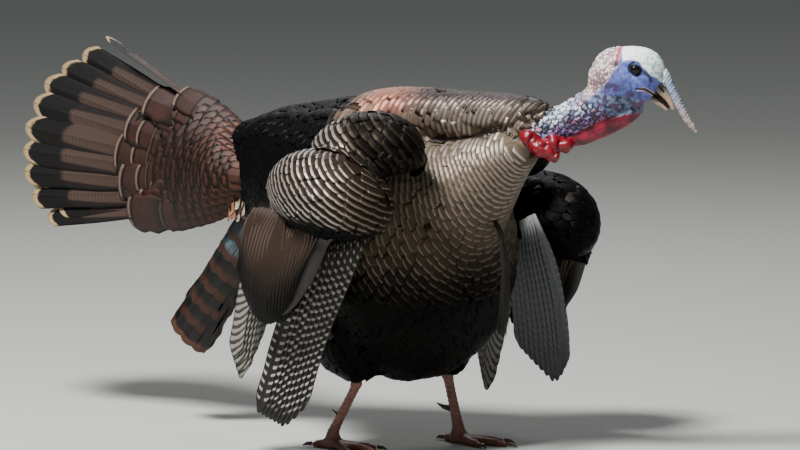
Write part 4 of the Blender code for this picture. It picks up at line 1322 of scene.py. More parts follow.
def trunk_rows(p):
    """Row height over neck, breast and back, from the root of the bare neck to the tail."""
    x, _, z = p.T
    sizes = chosen_for("coat")
    neck = sizes.neck_row + (sizes.back_row - sizes.neck_row) * step(x, 0.24, 0.02)
    breast = sizes.breast_row + (sizes.belly_row - sizes.breast_row) * step(z, 0.40, 0.28)
    return np.where(z > SHOULDER_HEIGHT, neck, breast)


def evenly(value):
    return lambda p: np.full(len(p), value)


def upper_wing_marks(places):
    """Shoulder feathers: silvery towards the back as painted sheen, with a little copper; painted shade
    darkens the front and, on the left, the side that faces the breast, which has a plum painted sheen.
    """
    back, _, left = view_of_wing(places, "shoulder")
    marks = plain_marks(places, ring=0.9, thin=0.8)
    # Silver towards the back: painted sheen.
    marks["pale"] = (0.05 + 1.05 * step(back, 0.008, 0.034)) * (1 - left)
    marks["copper"] = 0.4 * step(back, 0.03, 0.07) * (1 - left)
    # Painted shade: the front of the lump and, on the left, the side facing the breast, with a plum painted
    # sheen on it.
    marks["belly"] = np.maximum(0.90 * step(back, 0.032, 0.002), left)
    marks["plum"], marks["black"] = 0.5 * left, 0.9 * left
    return marks


def thigh_marks(places):
    # Nearly black thighs: partly their own dark plumage, partly painted shade under the body.
    return plain_marks(places, belly=1.0, black=0.7, thin=1.0)


Wing = namedtuple("Wing", "side tag shoulder forearm shield tip_rows stepped")
# Laid out on the left, as the solids are. tip_rows: root, tip and bow of the leading primary, then
# of the one next to the secondaries; stepped: how much shorter the primaries grow towards that one.
WINGS = (
    Wing(-1, "right", (0.090, 0.136, 0.412), (0.078, 0.201, 0.352), (0.008, 0.216, 0.260), (
        ((0.112, 0.174, 0.300), (0.020, 0.209, 0.046), -0.014),
        ((0.024, 0.180, 0.280), (-0.040, 0.209, 0.036), 0.0)), 0.035),
    Wing(1, "left", (0.076, 0.140, 0.388), (0.106, 0.207, 0.296), (0.086, 0.222, 0.210), (
        ((0.150, 0.152, 0.305), (0.148, 0.225, 0.074), 0.014),
        ((0.098, 0.156, 0.285), (0.066, 0.223, 0.062), 0.0)), 0.075),
)
# Where the feathers of each lump fan out from, as a step from its own middle: the inner front.
SHOULDER_POLE, FOREARM_POLE = (0.062, -0.030, 0.026), (0.062, -0.026, 0.040)
POLE_RADIUS = 0.003
THIGH_POLE, THIGH_RADIUS, THIGH_HEM = (0.02, 0.12, 0.20), 0.05, 0.112


def placed_on(wing, points):
    """Places laid out on the left wing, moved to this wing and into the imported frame."""
    return points * np.array([1, wing.side, 1]) + SHIFTED


def body_coat(flesh, field, skin):
    """Neck, breast, flanks and back, one piece each; the breast begins and the flanks end at an x."""
    sizes, breast_x, flanks_x = chosen_for("coat"), 0.09, -0.06
    body = Coat(("neck", "trunk", "rump"), BARE, 0.0, trunk_rows, trunk_widths, sizes.overlap,
                sizes.rise, 0.0)

    def upper(p):
        return p[:, 2] > SHOULDER_HEIGHT

    return coat("coat_body", flesh, field, skin, body, body_marks, {
        "coat_neck": lambda p: upper(p) & (p[:, 0] > 0.0),
        "coat_breast": lambda p: ~upper(p) & (p[:, 0] > breast_x),
        "coat_flanks": lambda p: ~upper(p) & (p[:, 0] <= breast_x) & (p[:, 0] > flanks_x),
        "coat_back": lambda p: p[:, 0] <= np.where(upper(p), 0.0, flanks_x),
    })


def wing_coats(flesh, field, skin):
    sizes, pieces = chosen_for("coat"), []
    for wing in WINGS:
        for part, centre, pole, height, marks, hem in (
            ("shoulder", wing.shoulder, SHOULDER_POLE, sizes.shoulder_row, upper_wing_marks, 0.0),
            ("forearm", wing.forearm, FOREARM_POLE, sizes.forearm_row, wing_marks, wing.forearm[2] - 0.044),
        ):
            start = placed_on(wing, np.array(centre) + np.array(pole)), POLE_RADIUS
            laid = Coat((f"wing_{wing.tag}_{part}",), start, 1.2, evenly(height), evenly(1.75),
                        sizes.overlap, sizes.rise, hem)
            pieces += coat(f"coat_wing_{wing.tag}_{part}", flesh, field, skin, laid, marks)
    return pieces


def thigh_coats(flesh, field, skin):
    sizes, pieces = chosen_for("coat"), []
    for side, sign in SIDES.items():
        pole = here(THIGH_POLE[0], sign * THIGH_POLE[1], THIGH_POLE[2])
        thigh = Coat((f"leg_{side}_thigh",), (pole, THIGH_RADIUS), 0.0, evenly(sizes.thigh_row),
                     evenly(1.3), sizes.overlap + 0.2, sizes.rise + 0.02, THIGH_HEM)
        pieces += coat(f"coat_thigh_{side}", flesh, field, skin, thigh, thigh_marks)
    return pieces


# ---- the tail ----
FAN_CENTRE = (-0.108, 0.0, 0.327)
FAN_LIFT, FAN_ROLL, FAN_HALF_SPREAD = math.radians(6.4), math.radians(78), math.radians(15.6)
FAN_ROOT, TAIL_RADIUS, COVERT_RADIUS = 0.148, 0.536, 0.360
LOOSE_ROOT, LOOSE_TIP = 0.155, 0.446            # the feather that stands clear of the fan


def fan_axes():
    """The fan's outward, upward and face-on directions."""
    out = np.array([-math.cos(FAN_LIFT), 0, math.sin(FAN_LIFT)])
    upright = np.array([math.sin(FAN_LIFT), 0, math.cos(FAN_LIFT)])
    left = np.array([0.0, 1.0, 0.0])
    across = left * math.cos(FAN_ROLL) + upright * math.sin(FAN_ROLL)
    off = upright * math.cos(FAN_ROLL) - left * math.sin(FAN_ROLL)
    return out, across, off


FAN_OUT, FAN_ACROSS, FAN_OFF = fan_axes()


def fan_points(radius, angle, lift):
    """Places on the fan, for arrays of radius, angle in its plane and lift off its upper face."""
    radius, angle, lift = np.broadcast_arrays(*[np.asarray(v, float)[..., None]
                                                for v in (radius, angle, lift)])
    plane = FAN_OUT * np.cos(angle) + FAN_ACROSS * np.sin(angle)
    return np.array(here(*FAN_CENTRE)) + plane * radius + FAN_OFF * lift


def fan_across(angle):
    """The direction across a feather that lies in the fan's plane at an angle."""
    return FAN_ACROSS * np.cos(angle)[..., None] - FAN_OUT * np.sin(angle)[..., None]


TAIL_VANE = Shape(tail_outline, np.concatenate([np.linspace(0, 0.8, 9), [0.87, 0.92, 0.96, 0.985, 1.0]]),
                  np.array([-1, -0.82, -0.6, -0.35, -0.1, 0, 0.1, 0.35, 0.6, 0.82, 1]),
                  0.058, True, 0.05, 0.0012)


def tail_feather_material():
    """Tail vane: dull grey-brown with fine dark waves, a black band, a buff tip and painted shadow
    along one web.
    """
    paint = Paint("barred_tail_vane", "along", "across", "reach", "tuft", "under", "lean")
    along, across, reach, tuft, under, lean = paint.marks
    tints, off_shaft = chosen_for("tail"), paint("ABSOLUTE", across)
    where = paint("join", paint("MULTIPLY", across, 0.02), reach, paint("MULTIPLY", tuft, 3))
    warp = paint("MULTIPLY", paint("noise", where, 90, 2.0), 1.6)
    wave = paint("SINE", paint(
        "MULTIPLY_ADD", paint("ADD", reach, paint("MULTIPLY", off_shaft, 0.004)),
        2 * math.pi / tints.wave_spacing, paint("MULTIPLY", warp, 2.4)))
    wavy = paint("MULTIPLY_ADD", paint("noise", where, 140, 3.0), 0.028, along)
    lower = paint("MULTIPLY", across, lean)
    colour = paint.over(
        paint("mix", paint("ramp", along, 0.35, 0.8), "#35221b", tints.ground),
        (paint("ramp", wave, -0.1, 0.7), "#2a1f1a", 0.62),
        (paint("ramp", wavy, 0.832, 0.856), tints.band),
        # Painted shadow: a dark wedge along the lower web, widening to the tip, where the neighbouring
        # feather shades it.
        (paint("ramp", paint("MULTIPLY_ADD", along, 1.3, lower), 1.42, 1.60), "#0d0a0a", 0.92),
        (paint("ramp", wavy, 0.983, 0.996), tints.tip),
        (paint("ramp", off_shaft, 0.045, 0.02), "#1e1512", 0.55), (under, "#7a6e65", 0.2))
    return paint.finish(Base_Color=colour, Roughness=0.5, Specular_IOR_Level=0.25,
                        Normal=barbs(paint, along, across, 110))


def covert_material():
    """Tail coverts: chestnut with a coppery gleam, a thin black line and a buff edge."""
    paint = Paint("chestnut_covert", "along", "across", "tuft", "gloss", "rim")
    along, across, tuft, gloss, rim = paint.marks
    tints = chosen_for("tail")
    where = paint("join", across, paint("MULTIPLY", along, 6), paint("MULTIPLY", tuft, 30))
    colour = paint.over(
        paint("mix", paint("noise", where, 2.2, 3.0), "#241412", tints.covert),
        (gloss, tints.gleam, 0.4), (paint("ramp", along, 0.60, 0.42), "#1c1310"),
        (paint("ramp", along, 0.885, 0.905), "#120c0a", paint("ramp", along, 0.955, 0.940)),
        (paint("ramp", along, 0.940, 0.955), paint("mix", rim, "#6c574a", "#1c0f0b")))
    return paint.finish(Base_Color=colour, Metallic=paint("MULTIPLY_ADD", gloss, 0.35, 0.1),
                        Roughness=0.45, Specular_IOR_Level=0.3, Normal=barbs(paint, along, across, 60))


def tail_feathers():
    """Nine broad feathers with eight behind them, tilted like slats, and one that stands clear."""
    front = chosen_for("tail").front_feathers
    share = (np.arange(front) + 0.5) / front * 2 - 1
    rng = np.random.default_rng(11)
    top = np.concatenate([share, (share[1:] + share[:-1]) / 2])
    back = np.arange(len(top)) >= front
    tip = TAIL_RADIUS * (1 - 0.15 * top**2) * np.where(back, 0.945, 1.0) + rng.normal(0, 0.0025, len(top))
    s = np.linspace(0, 1, 9)
    radius = FAN_ROOT - 0.03 + (tip[:, None] - FAN_ROOT + 0.03) * s
    angle = (top * FAN_HALF_SPREAD)[:, None] + rng.normal(0, 0.002, (len(top), 1))
    lift = np.where(back, -0.0032, -0.0002)[:, None] + 0 * s
    paths = fan_points(radius, angle, lift)
    lean = np.clip(-3 * top, -1, 1)              # the middle feather lies over its neighbours
    tilt = (0.085 * lean + 0.45 * step(-top, 0.45, 1.0))[:, None, None]
    facing = unit(FAN_OFF + tilt * fan_across(angle))
    half = np.where(back, 0.0215, 0.0198)[:, None]
    # lean: the side of each vane that the painted shadow lies on.
    marks = {"lean": np.where(lean > -0.2, 1.0, -1.0)}
    material = tail_feather_material()
    made = strips("tail_feathers", TAIL_VANE, paths, facing, half, marks, 12)
    finished(made, "chestnut_plumage", material)
    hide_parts("tail")
    radius = LOOSE_ROOT + (LOOSE_TIP - LOOSE_ROOT) * s[None]
    angle = FAN_HALF_SPREAD + math.radians(3.2)
    paths = fan_points(radius, angle, 0.0)
    loose = strips("tail_feather_loose", TAIL_VANE, paths, fan_across(angle), (0.016, 0.018),
                   {"lean": np.array([1.0])}, 13)
    finished(loose, "chestnut_plumage", material)
    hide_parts("tail_outer_feather")


# Radius of each row of coverts, from the outermost in.
COVERT_TIPS = (0.360, 0.322, 0.294, 0.275, 0.260, 0.247, 0.235, 0.224, 0.214, 0.205, 0.196, 0.187,
                0.178, 0.169, 0.160, 0.151, 0.142, 0.133, 0.124, 0.115, 0.106)


def pad_way(radius):
    """0 at the root of the covert pad, 1 at its end."""
    return clamp01((radius - FAN_ROOT) / (COVERT_RADIUS - FAN_ROOT))


def pad_lift(radius, share):
    """Height of the covert pad over the fan's upper face."""
    way = pad_way(radius)
    return 0.0045 + (0.003 + 0.040 * (1 - way) ** 1.4) * (1 - 0.6 * share**2)


def tail_coverts():
    """Rows of covert feathers on the pad, closer together and glossier towards the rump."""
    rng = np.random.default_rng(21)
    paths, facing, half, unwrap, gloss, rim = [], [], [], [], [], []
    s = np.linspace(0, 1, 6)
    for row, tip in enumerate(COVERT_TIPS):
        count = (5, 6, 7)[min(row, 2)]
        gap = (COVERT_TIPS[row - 1] - tip) if row else 0.040
        share = (np.arange(count) + 0.5 * (row % 2) + 0.25) / (count - 0.2) * 2 - 1
        for number, at in enumerate(np.clip(share, -1, 1)):
            end = tip * (1 - 0.13 * at**2) + rng.normal(0, 0.0030 if row < 2 else 0.0008)
            length = max(2.6 * gap, 0.050)
            radius = end - length * (1 - s)
            spread = FAN_HALF_SPREAD * (1.45 - 0.45 * pad_way(radius))
            lift = pad_lift(radius, at) + 0.0011 * row + 0.0032 * s - 0.002
            line = fan_points(radius, at * spread, lift)
            ahead = unit(np.gradient(line, axis=0))
            wide = spread.mean() * (end - length * 0.3) / count * (1.45 if row < 2 else 1.9)
            side = unit(np.cross(FAN_OFF, ahead))
            up = unit(np.cross(ahead, side))
            up = unit(up + 0.5 * at * fan_across(at * spread))
            paths.append(line)
            facing.append(up)
            half.append([wide])
            unwrap.append(((number + 0.5) / count, (row + 0.5) / len(COVERT_TIPS)))
            gloss.append(step(tip, 0.25, 0.18) * rng.uniform(0.3, 1.0))
            rim.append(step(tip, 0.325, 0.275))
    made = vanes("tail_coverts_vanes", COVERT_VANE, np.array(paths), np.array(facing), np.array(half),
                 np.array(unwrap), {"gloss": np.array(gloss), "rim": np.array(rim)}, patch=(0.07, 0.07),
                 seed=22)
    finished(made, "chestnut_plumage", covert_material())


def vent_tuft():
    """Loose downy feathers below the tail's root, cream with orange ends."""
    paint = Paint("cream_vent_down", "along", "tuft")
    along, tuft = paint.marks
    colour = paint.over(paint("mix", paint("ramp", tuft, 0.3, 0.8), "#95897b", "#7c4a2e"),
                        (paint("ramp", along, 0.35, 0.0), "#2a1c15"))
    material = paint.finish(Base_Color=colour, Roughness=0.6)
    count, s = 26, np.linspace(0, 1, 5)[None, :, None]
    rng = np.random.default_rng(81)
    root = np.array([-0.200, -0.054, 0.322]) + rng.normal(0, 1, (count, 3)) * np.array([0.009, 0.004, 0.005])
    way = unit(np.array([0.20, -0.05, -0.75]) + rng.normal(0, 0.22, (count, 3)))
    length = rng.uniform(0.022, 0.036, (count, 1, 1))
    paths = root[:, None] + way[:, None] * length * s + np.array([-0.004, -0.004, 0]) * s**2
    facing = unit(np.array([-0.35, -0.9, 0.1]) + rng.normal(0, 0.25, (count, 1, 3)) + 0 * paths)
    made = strips("vent_tuft", CONTOUR, paths + SHIFTED, facing, 0.0048, {}, 82)
    finished(made, "chestnut_plumage", material)


COVERT_VANE = Shape(contour_outline, np.array([0, 0.2, 0.4, 0.55, 0.7, 0.8, 0.88, 0.94, 0.97, 1.0]),
                    np.linspace(-1, 1, 9), 0.07, False, 0.03, 0.0)


# ---- wings ----
FLIGHT_VANE = Shape(flight_outline, np.concatenate([np.linspace(0, 0.8, 9), [0.87, 0.93, 0.97, 1.0]]),
                    np.array([-1, -0.7, -0.4, -0.12, 0, 0.12, 0.4, 0.7, 1]), 0.045, True, 0.04, 0.0010)


def primary_material():
    """Primaries: dull black-brown barred with white, plain smoky grey below."""
    paint = Paint("barred_primary_vane", "along", "across", "reach", "under", "tuft")
    along, across, reach, under, tuft = paint.marks
    tints, web = chosen_for("wing"), paint("ABSOLUTE", across)
    where = paint("join", paint("MULTIPLY", across, 0.01), reach, paint("MULTIPLY", tuft, 5))
    slanted = paint("ADD", reach, paint("MULTIPLY", web, -0.0045))
    wander = paint("MULTIPLY", paint("noise", where, 120, 2.0), 0.004)
    shifted = paint("ADD", slanted, paint("MULTIPLY_ADD", tuft, 0.006, wander))
    wave = paint("SINE", paint("MULTIPLY", shifted, 2 * math.pi / tints.bar_spacing))
    inside = paint("MULTIPLY", paint("ramp", web, 0.22, 0.42), paint("ramp", web, 0.98, 0.80))
    bar = paint("MULTIPLY", paint("ramp", wave, 0.25, 0.70), paint("ramp", along, 0.97, 0.90))
    bar = paint("MULTIPLY", bar, inside)
    streak = paint("noise", paint("join", paint("MULTIPLY", across, 3), along, tuft), 4.0, 3.0)
    grey = paint.over(
        paint("mix", streak, "#3d3e45", "#75767c"), (paint("ramp", along, 0.35, 1.0), "#333339", 0.6),
        (paint("ramp", along, 0.16, 0.04), "#b4b4b4"), (bar, "#9b9ba0", 0.10))
    colour = paint.over(
        tints.dark, (bar, paint("mix", paint("noise", where, 45, 2.0), "#6f685f", tints.chalk)),
        (paint("ramp", web, 0.10, 0.04), "#171110"), (under, grey))
    return paint.finish(Base_Color=colour, Roughness=0.45, Normal=barbs(paint, along, across, 90))


def secondary_material():
    """Secondaries: pale grey vanes with slanting dark bars."""
    paint = Paint("barred_secondary_vane", "along", "across", "reach", "tuft")
    along, across, reach, tuft = paint.marks
    where = paint("join", paint("MULTIPLY", across, 0.01), reach, paint("MULTIPLY", tuft, 5))
    slanted = paint("MULTIPLY_ADD", across, 0.009, reach)
    shifted = paint("MULTIPLY_ADD", paint("noise", where, 120, 2.0), 0.005, slanted)
    wave = paint("SINE", paint("MULTIPLY", shifted, 2 * math.pi / chosen_for("wing").grey_bars))
    colour = paint.over(paint("mix", paint("ramp", wave, -0.35, 0.1), "#332c27", "#837e77"),
                        (paint("ramp", paint("ABSOLUTE", across), 0.9, 1.0), "#2a2421"))
    return paint.finish(Base_Color=colour, Roughness=0.5, Normal=barbs(paint, along, across, 90))


def shield_material():
    """Long coverts: smooth satin brown with paler streaks along their edges, darkened to near black
    towards their lower ends as painted shade.
    """
    paint = Paint("brown_shield_vane", "along", "across", "tuft")
    along, across, tuft = paint.marks
    where = paint("join", paint("MULTIPLY", across, 3), paint("MULTIPLY", along, 1.2), tuft)
    rim = paint("ramp", paint("ABSOLUTE", across), 0.72, 0.92)
    colour = paint.over(
        paint("mix", paint("noise", where, 3.0, 3.0), "#2a201a", chosen_for("wing").brown),
        (rim, "#6f6056", paint("ramp", along, 0.85, 0.35), 0.7),
        # Painted shade: near black towards the lower end of each covert.
        (paint("ramp", along, 0.30, 0.90), "#080605"))
    return paint.finish(Base_Color=colour, Roughness=0.45, Specular_IOR_Level=0.15,
                        Normal=barbs(paint, along, across, 70))


def primaries(wing, material):
    count = chosen_for("wing").primaries
    share = np.linspace(0, 1, count)[:, None, None]
    (root, tip, bow), (root_in, tip_in, bow_in) = wing.tip_rows
    root = np.array(root) + (np.array(root_in) - root) * share
    tip = np.array(tip) + (np.array(tip_in) - tip) * share
    bow = bow + (bow_in - bow) * share
    shorter = 0.020 * (1 - share / 0.3).clip(0) ** 1.5 + wing.stepped * (share - 0.3).clip(0)
    tip = tip + unit(root - tip) * shorter
    s = np.linspace(0, 1, 9)[None, :, None]
    points = root + (tip - root) * s + np.array([4.0, 0, 0]) * bow * s * (1 - s)
    points[..., 1] += 0.0017 * (np.arange(count)[:, None] - count + 1)
    made = strips(f"primaries_{wing.tag}", FLIGHT_VANE, placed_on(wing, points), (0, wing.side, 0),
                  chosen_for("wing").vane_half, {}, 31)
    finished(made, "barred_plumage", material)
    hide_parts(*[f"wing_{wing.tag}_primaries_{i + 1}" for i in range(5)])


def secondaries(wing, material):
    count = chosen_for("wing").secondaries
    across = np.linspace(-1, 1, count)[:, None]
    s = np.linspace(0, 1, 7)[None]
    x = wing.shield[0] - 0.030 - 0.043 * s + across * (0.024 - 0.014 * s)
    z = wing.shield[2] + 0.040 - (0.200 - 0.035 * np.abs(across + 0.2)) * s
    y = wing.shield[1] - 0.024 + 0.010 * s - 0.0011 * (across * count / 2)
    paths = placed_on(wing, np.stack([x, y + 0 * x, z], -1))
    made = strips(f"secondaries_{wing.tag}", FLIGHT_VANE, paths, (0, wing.side, 0), 0.0125, {}, 32)
    finished(made, "barred_plumage", material)
    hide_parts(f"wing_{wing.tag}_secondaries")


def shield(wing, skin, material):
    """Long coverts laid like a hand of cards down both faces of the shield."""
    count, s = chosen_for("wing").coverts, np.linspace(0, 1, 7)[None]
    across = np.linspace(-1, 1, count)[:, None]
    length = 0.150 * np.sqrt(1 - 0.62 * across**2)
    x = wing.shield[0] + 0.026 - 0.034 * s + across * (0.058 - 0.014 * s)
    z = wing.shield[2] + 0.070 - length * s
    for face, name in ((1, "outer"), (-1, "inner")):
        out = Vector((0, wing.side * face, 0))
        depth = np.full(x.shape, 0.004)
        for i in np.ndindex(*x.shape):
            start = Vector(placed_on(wing, np.array([x[i], wing.shield[1], z[i]])))
            hit = skin.tree.ray_cast(start, out, 0.022)
            if hit[0]:
                depth[i] = hit[3]
        least = depth.copy()
        for _ in range(3):
            depth = np.pad(depth, 1, mode="edge")
            depth = (2 * depth[1:-1, 1:-1] + depth[:-2, 1:-1] + depth[2:, 1:-1]
                     + depth[1:-1, :-2] + depth[1:-1, 2:]) / 6
        depth = np.clip(least, depth, depth + 0.003) - 0.006 * step(s, 0.14, 0.0)
        y = wing.shield[1] + face * (depth + 0.0024 + 0.00028 * (count - np.arange(count)[:, None]))
        paths = placed_on(wing, np.stack([x, y, z], -1))
        made = strips(f"shield_{wing.tag}_{name}", FLIGHT_VANE, paths, out, 0.0105, {}, 33)
        finished(made, "bronze_plumage", material)


UNDER_PATH = ((-0.190, 0.310), (-0.228, 0.256), (-0.268, 0.200), (-0.305, 0.151), (-0.331, 0.119))
UNDER_TIPS = (0.17, 0.29, 0.41, 0.53, 0.65, 0.77, 0.89, 1.0)    # shares of the path
UNDER_HALF, UNDER_LONG, UNDER_AROUND = 0.017, 0.074, 9          # half width, length, vanes in a row


def under_tail_material():
    """Under tail coverts: smooth keratin, glossy black with a bluish gleam and chestnut ends."""
    paint = Paint("banded_under_tail_vane", "along", "across", "tuft", "sheen", "last")
    along, across, tuft, sheen, last = paint.marks
    where = paint("join", paint("MULTIPLY", across, 6), along, paint("MULTIPLY", tuft, 30))
    mottle = paint("noise", where, 3.0, 3.0)
    colour = paint.over(
        paint("mix", paint("MULTIPLY", sheen, paint("ramp", mottle, 0.35, 0.6)), "#070606", "#4f6066"),
        (paint("ramp", along, 0.76, 0.88), paint("mix", mottle, "#1f0f08", chosen_for("tail").rust)),
        (paint("ramp", along, 0.97, 1.0), "#1c0f0a", 0.5),
        (last, "#0f0b0a", paint("ramp", along, 0.5, 0.6)),
        (last, "#4a2c1b", paint("ramp", along, 0.86, 0.90)))
    return paint.finish(Base_Color=colour, Roughness=0.40, Specular_IOR_Level=0.35,
                        Normal=barbs(paint, along, across, 60))


def under_tail():
    """Under tail coverts: a stack of broad vanes, glossy black with chestnut ends."""
    material = under_tail_material()
    path = np.array(UNDER_PATH)
    share = np.linspace(0, 1, len(path))
    fine = np.linspace(0, 1, 60)
    line = np.stack([np.interp(fine, share, path[:, i]) for i in range(2)], 1)
    gone = np.concatenate([[0], np.cumsum(np.linalg.norm(np.diff(line, axis=0), axis=1))])
    total = gone[-1]
    rng = np.random.default_rng(71)
    s = np.linspace(0, 1, 6)
    paths, facing, marks, unwrap, fall = [], [], [], [], []
    for row, tip in enumerate(UNDER_TIPS):
        for number in range(UNDER_AROUND):
            angle = 2 * math.pi * (number + 0.5 * (row % 2)) / UNDER_AROUND
            length = UNDER_LONG + rng.uniform(-0.001, 0.001)
            at = np.clip(tip * total - length * (1 - s), 0, total)
            x, z = (np.interp(at, gone, line[:, i]) for i in range(2))
            way = at / total
            ahead = unit(np.stack([np.interp(at, gone, np.gradient(line[:, i])) for i in range(2)], 1))
            back = np.stack([ahead[:, 1], 0 * x, -ahead[:, 0]], 1)
            wide, tall = 0.024 - 0.014 * way, 0.030 + 0.004 * way
            wide, tall = wide + 0.0055 + 0.003 * s, tall * (0.5 + 0.5 * step(way, 0.0, 0.25))
            across, along = wide * math.sin(angle), tall * math.cos(angle)
            round_there = (across**2 + along**2) ** 1.5 / (wide * tall)
            middle_line = np.stack([x, 0 * x - 0.010 * way, z], 1)
            off = back * (tall * math.sin(angle))[:, None]
            off[:, 1] -= wide * math.cos(angle)
            up = back * (math.sin(angle) / tall)[:, None]
            up[:, 1] -= math.cos(angle) / wide
            paths.append(middle_line + off + SHIFTED)
            facing.append(unit(up))
            fall.append([min(UNDER_HALF**2 / (2 * round_there[3]), 0.012)])
            marks.append((rng.uniform(0.5, 1.0) * (row in (1, 2)), float(row == len(UNDER_TIPS) - 1)))
            unwrap.append(((number + 0.5) / UNDER_AROUND, (row + 0.5) / len(UNDER_TIPS)))
    marks = np.array(marks)
    made = vanes("under_tail_vanes", COVERT_VANE, np.array(paths), np.array(facing), UNDER_HALF,
                 np.array(unwrap), {"sheen": marks[:, 0], "last": marks[:, 1]}, patch=(0.09, 0.12),
                 rise=0.001, fall=np.array(fall), seed=72)
    finished(made, "chestnut_plumage", material)


BRISTLE = Shape(lambda s: 1 - 0.75 * s, np.array([0, 0.35, 0.7, 1.0]), np.array([-1, 0, 1]), 0.0, False,
                -0.9, 0.0)
HAIR = BRISTLE._replace(rows=np.linspace(0, 1, 9), outline=lambda s: 1 - 0.5 * s**3)


def bristle_material():
    """Bristles: coarse black keratin threads with a dull shine."""
    paint = Paint("black_bristle", "tuft")
    return paint.finish(Base_Color=paint("mix", paint.marks[0], "#0b0909", "#211914"), Roughness=0.45)


def beard(material):
    """The breast beard: a hanging bundle of stiff bristles."""
    count, s = 170, np.linspace(0, 1, 9)
    rng = np.random.default_rng(51)
    bend = np.array([(0.178, 0.0, 0.332), (0.205, 0.0, 0.295), (0.213, 0.0, 0.245), (0.211, 0.0, 0.200),
                     (0.206, 0.0, 0.160)])
    line = np.stack([np.interp(s, np.linspace(0, 1, 5), bend[:, i]) for i in range(3)], 1)
    turn, out = rng.uniform(0, 2 * math.pi, count), np.sqrt(rng.uniform(0, 1, count))
    spread = (0.35 + 0.65 * s)[None, :, None]
    offset = np.stack([0.0055 * out * np.cos(turn), 0.0085 * out * np.sin(turn), 0 * out], 1)[:, None]
    long = rng.uniform(0.80, 1.0, count)
    paths = interpolated(np.broadcast_to(line, (count, 9, 3)), s[None] * long[:, None])
    paths = paths + offset * spread + SHIFTED
    wave = rng.normal(0, 0.0006, (count, 1, 3)) * (s**2)[None, :, None]
    made = strips("beard_bristles", HAIR, paths + wave, (1, 0, 0), 0.0007, {}, 52)
    finished(made, "black_plumage", material)
    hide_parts("beard")


def head_bristles(dressed, material):
    """Sparse black bristles on nape, crown and throat."""
    points, normals = points_of(dressed.data), normals_of(dressed.data)
    local = in_head(points)
    forward, up = local[:, 0], local[:, 2]
    values = np.empty(len(points), np.float32)
    fields = {}
    for name in ("nape", "crown", "neck", "red", "snood"):
        dressed.data.attributes[name].data.foreach_get("value", values)
        fields[name] = values.copy()
    rng = np.random.default_rng(61)
    brow = (fields["crown"] > 0.5) & (forward > 0.010) & (up < 0.034)
    wanted = ((fields["nape"] > 0.6) | brow | (fields["neck"] > 0.6)) & (fields["red"] < 0.2) & (
        fields["snood"] < 0.2)
    roots = scattered(points[wanted], 0.0068, 62)
    tree = tree_of(points)
    index = np.array([tree.find(p)[1] for p in roots])
    normal = normals[index]
    back = np.array(HEAD_TURN @ Vector((-0.8, 0, -0.6)))
    lie = unit(back - normal * (normal @ back)[:, None] + 0.35 * rng.normal(0, 1, normal.shape))
    length = rng.uniform(0.58, 1, len(roots))[:, None, None] * chosen_for("head").bristle
    s = np.linspace(0, 1, 4)[None, :, None]
    paths = roots[:, None] + lie[:, None] * length * s + normal[:, None] * length * (0.55 * s - 0.1)
    unwrap = 0.02 + 0.96 * (roots - roots.min(0))[:, [0, 2]] / np.ptp(roots, axis=0)[[0, 2]]
    made = vanes("head_bristles", BRISTLE, paths, normal[:, None], 0.00030, unwrap, {}, seed=63)
    finished(made, "black_plumage", material)


def wings(skin):
    primary, secondary, brown = primary_material(), secondary_material(), shield_material()
    for wing in WINGS:
        primaries(wing, primary)
        secondaries(wing, secondary)
        shield(wing, skin, brown)


# ---- the stage ----
AZIMUTH, ELEVATION = math.radians(40), math.radians(6)      # of the camera, off the right side
TARGET = (0.0344, 0, 0.2934)                                # what it looks at, in the solids' layout
SENSOR, FLOOR_SIZE, CLIP_END = 36, 30, 100
LAMP_TARGET = Vector((0, 0, 0.3))
SKY = "#dfe3e8"
# Soft square lamps besides the key: watts, metres across and place.
KEY_SIZE, KEY_PLACE = 0.8, (0.15, -1.8, 3.1)
OTHER_LAMPS = {"fill": (8, 2.5, (3.2, -2.4, 1.2)), "rim": (30, 1.5, (-1.6, 1.8, 2.4))}


def aimed(name, data, place, away):
    """A camera or lamp at a place, with its back to a direction."""
    made = object_of(name, data)
    made.location = place
    made.rotation_euler = away.to_track_quat("Z", "Y").to_euler()
    return made


def stage():
    """A matt floor, three soft lamps and the camera."""
    chosen = chosen_for("stage")
    away = Vector((math.sin(AZIMUTH) * math.cos(ELEVATION),
                   -math.cos(AZIMUTH) * math.cos(ELEVATION), math.sin(ELEVATION)))
    lens = bpy.data.cameras.new("camera")
    lens.lens, lens.sensor_width, lens.clip_end = chosen.lens, SENSOR, CLIP_END
    camera = aimed("camera", lens, here(*TARGET) + away * chosen.distance, away)
    bpy.context.scene.camera = camera
    bpy.ops.mesh.primitive_plane_add(size=FLOOR_SIZE, location=(0, 0, 0))
    floor = bpy.context.active_object
    floor.name = "floor"
    paint = Paint("matt_pale_floor")
    floor.data.materials.append(paint.finish(Base_Color=chosen.floor, Roughness=0.9))
    world = bpy.data.worlds.new("studio")
    bpy.context.scene.world = world
    world.use_nodes = True
    background = world.node_tree.nodes["Background"]
    background.inputs["Color"].default_value = srgb(SKY)
    background.inputs["Strength"].default_value = chosen.world
    for name, (power, size, place) in {"key": (chosen.key, KEY_SIZE, KEY_PLACE), **OTHER_LAMPS}.items():
        light = bpy.data.lights.new(name, "AREA")
        light.energy, light.size = power, size
        aimed(name, light, place, Vector(place) - LAMP_TARGET)


# ---- operators, panel and the order of the work ----
built = {}


def flesh():
    """The flesh nodes, gathered once."""
    if "flesh" not in built:
        built["flesh"] = Flesh()
    return built["flesh"]


def coat_ground():
    """What every coat is laid on: the flesh, a coarse smooth field over it and the skin."""
    if "skin" not in built:
        raise RuntimeError("Make the skin first")
    if "field" not in built:
        coarse = melted("coat_field", flesh().points, flesh().triangles, 0.007, 6)
        built["field"] = Field(points_of(coarse), normals_of(coarse), triangles_of(coarse))
    return flesh(), built["field"], built["skin"]


